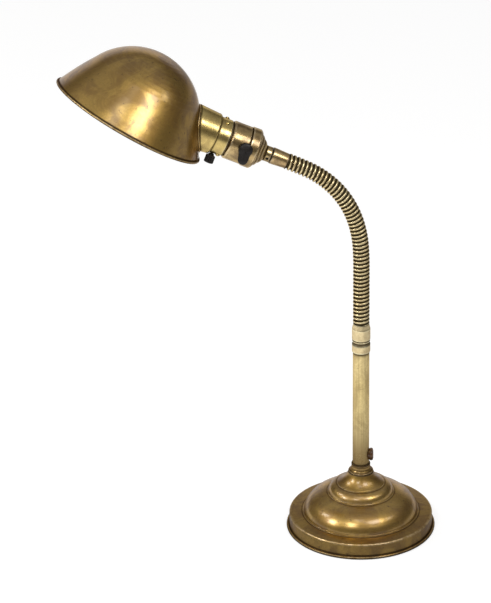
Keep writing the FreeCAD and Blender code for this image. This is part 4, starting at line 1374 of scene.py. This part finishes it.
@dataclass
class Lamp:
    """The whole lamp: its sub-assemblies, set along one line from the table to the shade."""

    shade_along: float = 136.3
    shade_back: float = -17.7
    shade_axis: tuple[float, float, float] = (0.4973, 0.2239, 0.8383)
    neck_end_gap: float = 1.0

    def build(self) -> None:
        """Build the sub-assemblies in order."""
        neck = Gooseneck()
        top = neck.top()
        seat = top.point(0, 0, self.neck_end_gap + Lampholder.ferrule_l)
        holder = Lampholder(axes=Axes.along(seat, top.z, top.x))
        back = np.array(self.shade_axis) / np.linalg.norm(self.shade_axis)
        mouth = holder.axes.point(0, 0, self.shade_along) + back * self.shade_back
        shade = Shade(holder=holder.axes, bowl=Axes.along(mouth, back, -holder.axes.z))
        for part in (Foot(), Stem(), neck, holder, shade):
            part.build()
            LOG.info("%s: %d pieces", type(part).__name__, len(part.made))


# Studio
@dataclass(frozen=True)
class SoftBox:
    """One soft box: where it stands, in degrees to the right of the front and up, its size and its power."""

    name: str
    azimuth: float
    elevation: float
    wide: float
    high: float
    power: float


@dataclass
class Studio:
    """Pale floor, soft lights, a plain world and the camera at the photograph's viewing angle."""

    lens: float = 540.0
    film: float = 36.0
    clip_end: float = 200.0
    place: tuple[float, float, float] = (-0.10998, -7.6288, 4.1966)
    right: tuple[float, float, float] = (1.0, -0.00177, -0.00341)
    up: tuple[float, float, float] = (0.00384, 0.4602, 0.8878)
    back: tuple[float, float, float] = (0.0, -0.8878, 0.4602)
    aim: tuple[float, float, float] = (-0.08, 0.0, 0.25)
    away: float = 2.2
    boxes: tuple[SoftBox, ...] = (
        SoftBox("key box", 41.0, 48.0, 0.85, 0.6, 16.0),
        SoftBox("high right box", 76.0, 40.0, 0.3, 0.3, 2.0),
        SoftBox("middle box", -20.0, 40.0, 0.34, 0.34, 8.0),
        SoftBox("left box", -66.0, 29.0, 0.42, 0.42, 15.0),
        SoftBox("far left box", -96.0, 36.0, 0.38, 0.38, 7.0),
        SoftBox("top box", -5.0, 64.0, 0.5, 0.5, 3.0),
    )
    room: Colour = (0.14, 0.135, 0.13)
    above: Colour = (0.46, 0.46, 0.46)
    floor_shade: float = 0.42
    floor_seen: float = 0.70
    painted_reflection_left: float = 0.80
    painted_reflection_right: float = 0.30
    floor_half: float = 40000.0
    floor_below: float = 0.2

    def camera(self) -> None:
        """Camera on the photograph's line of sight, with its lens for a 36 mm frame."""
        data = bpy.data.cameras.new("camera")
        data.lens, data.sensor_width, data.clip_end = self.lens, self.film, self.clip_end
        made = bpy.data.objects.new("camera", data)
        turn = Matrix((self.right, self.up, self.back)).transposed().to_4x4()
        made.matrix_world = Matrix.Translation(self.place) @ turn
        bpy.context.scene.collection.objects.link(made)
        bpy.context.scene.camera = made

    def floor(self) -> None:
        """Wide pale floor: white to the camera but for the lamp's shadow; to metal it glows as a painted
        reflection, brighter on its left and fading near the foot as a painted shadow.
        """
        half, low = self.floor_half, -self.floor_below
        grid = np.array([[(x, y, low) for x in (-half, half)] for y in (-half, half)])
        made = surface("floor", grid, tidy=False)
        material, nodes = started("pale floor")
        rays = nodes.add("ShaderNodeLightPath").outputs
        mirrored = nodes.maths("MAXIMUM", rays["Is Glossy Ray"], rays["Is Transmission Ray"])
        place = nodes.add("ShaderNodeTexCoord").outputs["Object"]
        aside = nodes.add("ShaderNodeSeparateXYZ", {0: place}).outputs[0]
        away = nodes.add("ShaderNodeVectorMath", {0: place}, operation="LENGTH").outputs["Value"]
        # painted reflection for mirror rays: brighter on the left, fading to nothing near the foot as a
        # painted shadow
        side = nodes.maths("MULTIPLY", nodes.spread(aside, 0.0, 0.4, self.painted_reflection_left, self.painted_reflection_right),
                           nodes.spread(away, 0.09, 0.3))
        glow = nodes.maths("ADD", nodes.maths("MULTIPLY", rays["Is Camera Ray"], self.floor_seen),
                           nodes.maths("MULTIPLY", mirrored, side))
        grey = (self.floor_shade, self.floor_shade, self.floor_shade, 1.0)
        matt = nodes.add("ShaderNodeBsdfDiffuse", {"Color": grey}).outputs[0]
        light = nodes.add("ShaderNodeEmission", {"Color": (1, 1, 1, 1), "Strength": glow})
        both = nodes.add("ShaderNodeAddShader", {0: matt, 1: light.outputs[0]}).outputs[0]
        nodes.add("ShaderNodeOutputMaterial", {0: both})
        made.data.materials.append(material)

    def lights(self) -> None:
        """Soft boxes aimed at the lamp: a wide key on the right of the front and smaller ones round it."""
        aim = Vector(self.aim)
        for box in self.boxes:
            turn, rise = math.radians(box.azimuth), math.radians(box.elevation)
            flat = math.cos(rise)
            way = Vector((math.sin(turn) * flat, -math.cos(turn) * flat, math.sin(rise)))
            data = bpy.data.lights.new(box.name, "AREA")
            data.shape, data.size, data.size_y, data.energy = "RECTANGLE", box.wide, box.high, box.power
            made = bpy.data.objects.new(box.name, data)
            made.location = aim + way * self.away
            made.rotation_euler = way.to_track_quat("Z", "Y").to_euler()
            made.visible_camera = False
            bpy.context.scene.collection.objects.link(made)

    def world(self) -> None:
        """World: white to the camera, and for the brass a white backdrop, a pale ceiling and a dim front."""
        made = bpy.data.worlds.new("studio")
        made.use_nodes = True
        bpy.context.scene.world = made
        nodes = Nodes(made.node_tree)
        rays = nodes.add("ShaderNodeLightPath").outputs
        way = nodes.add("ShaderNodeTexCoord").outputs["Generated"]
        parts = nodes.add("ShaderNodeSeparateXYZ", {0: way}).outputs
        behind = nodes.spread(parts[1], 0.78, 0.95)
        backdrop = nodes.maths("MULTIPLY", behind, nodes.spread(parts[2], 0.5, 0.22))
        ceiling = nodes.spread(parts[2], 0.45, 0.8)
        room = nodes.mixed(ceiling, self.room, self.above)
        room = nodes.mixed(backdrop, room, (1.0, 1.0, 1.0))
        seen = nodes.add("ShaderNodeBackground", {"Color": (1, 1, 1, 1), "Strength": 1.0}).outputs[0]
        lit = nodes.add("ShaderNodeBackground", {"Color": room, "Strength": 1.0}).outputs[0]
        mix = nodes.add("ShaderNodeMixShader", {0: rays["Is Camera Ray"], 1: lit, 2: seen}).outputs[0]
        nodes.add("ShaderNodeOutputWorld", {0: mix})

    def build(self) -> None:
        """Set up the studio."""
        self.camera()
        self.floor()
        self.lights()
        self.world()
        bpy.context.scene.view_settings.view_transform = "Standard"


def main() -> None:
    """Build the lamp in its studio."""
    logging.basicConfig(level=logging.INFO, format="%(message)s")
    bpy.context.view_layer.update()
    Lamp().build()
    Studio().build()


if __name__ == "__main__":
    main()
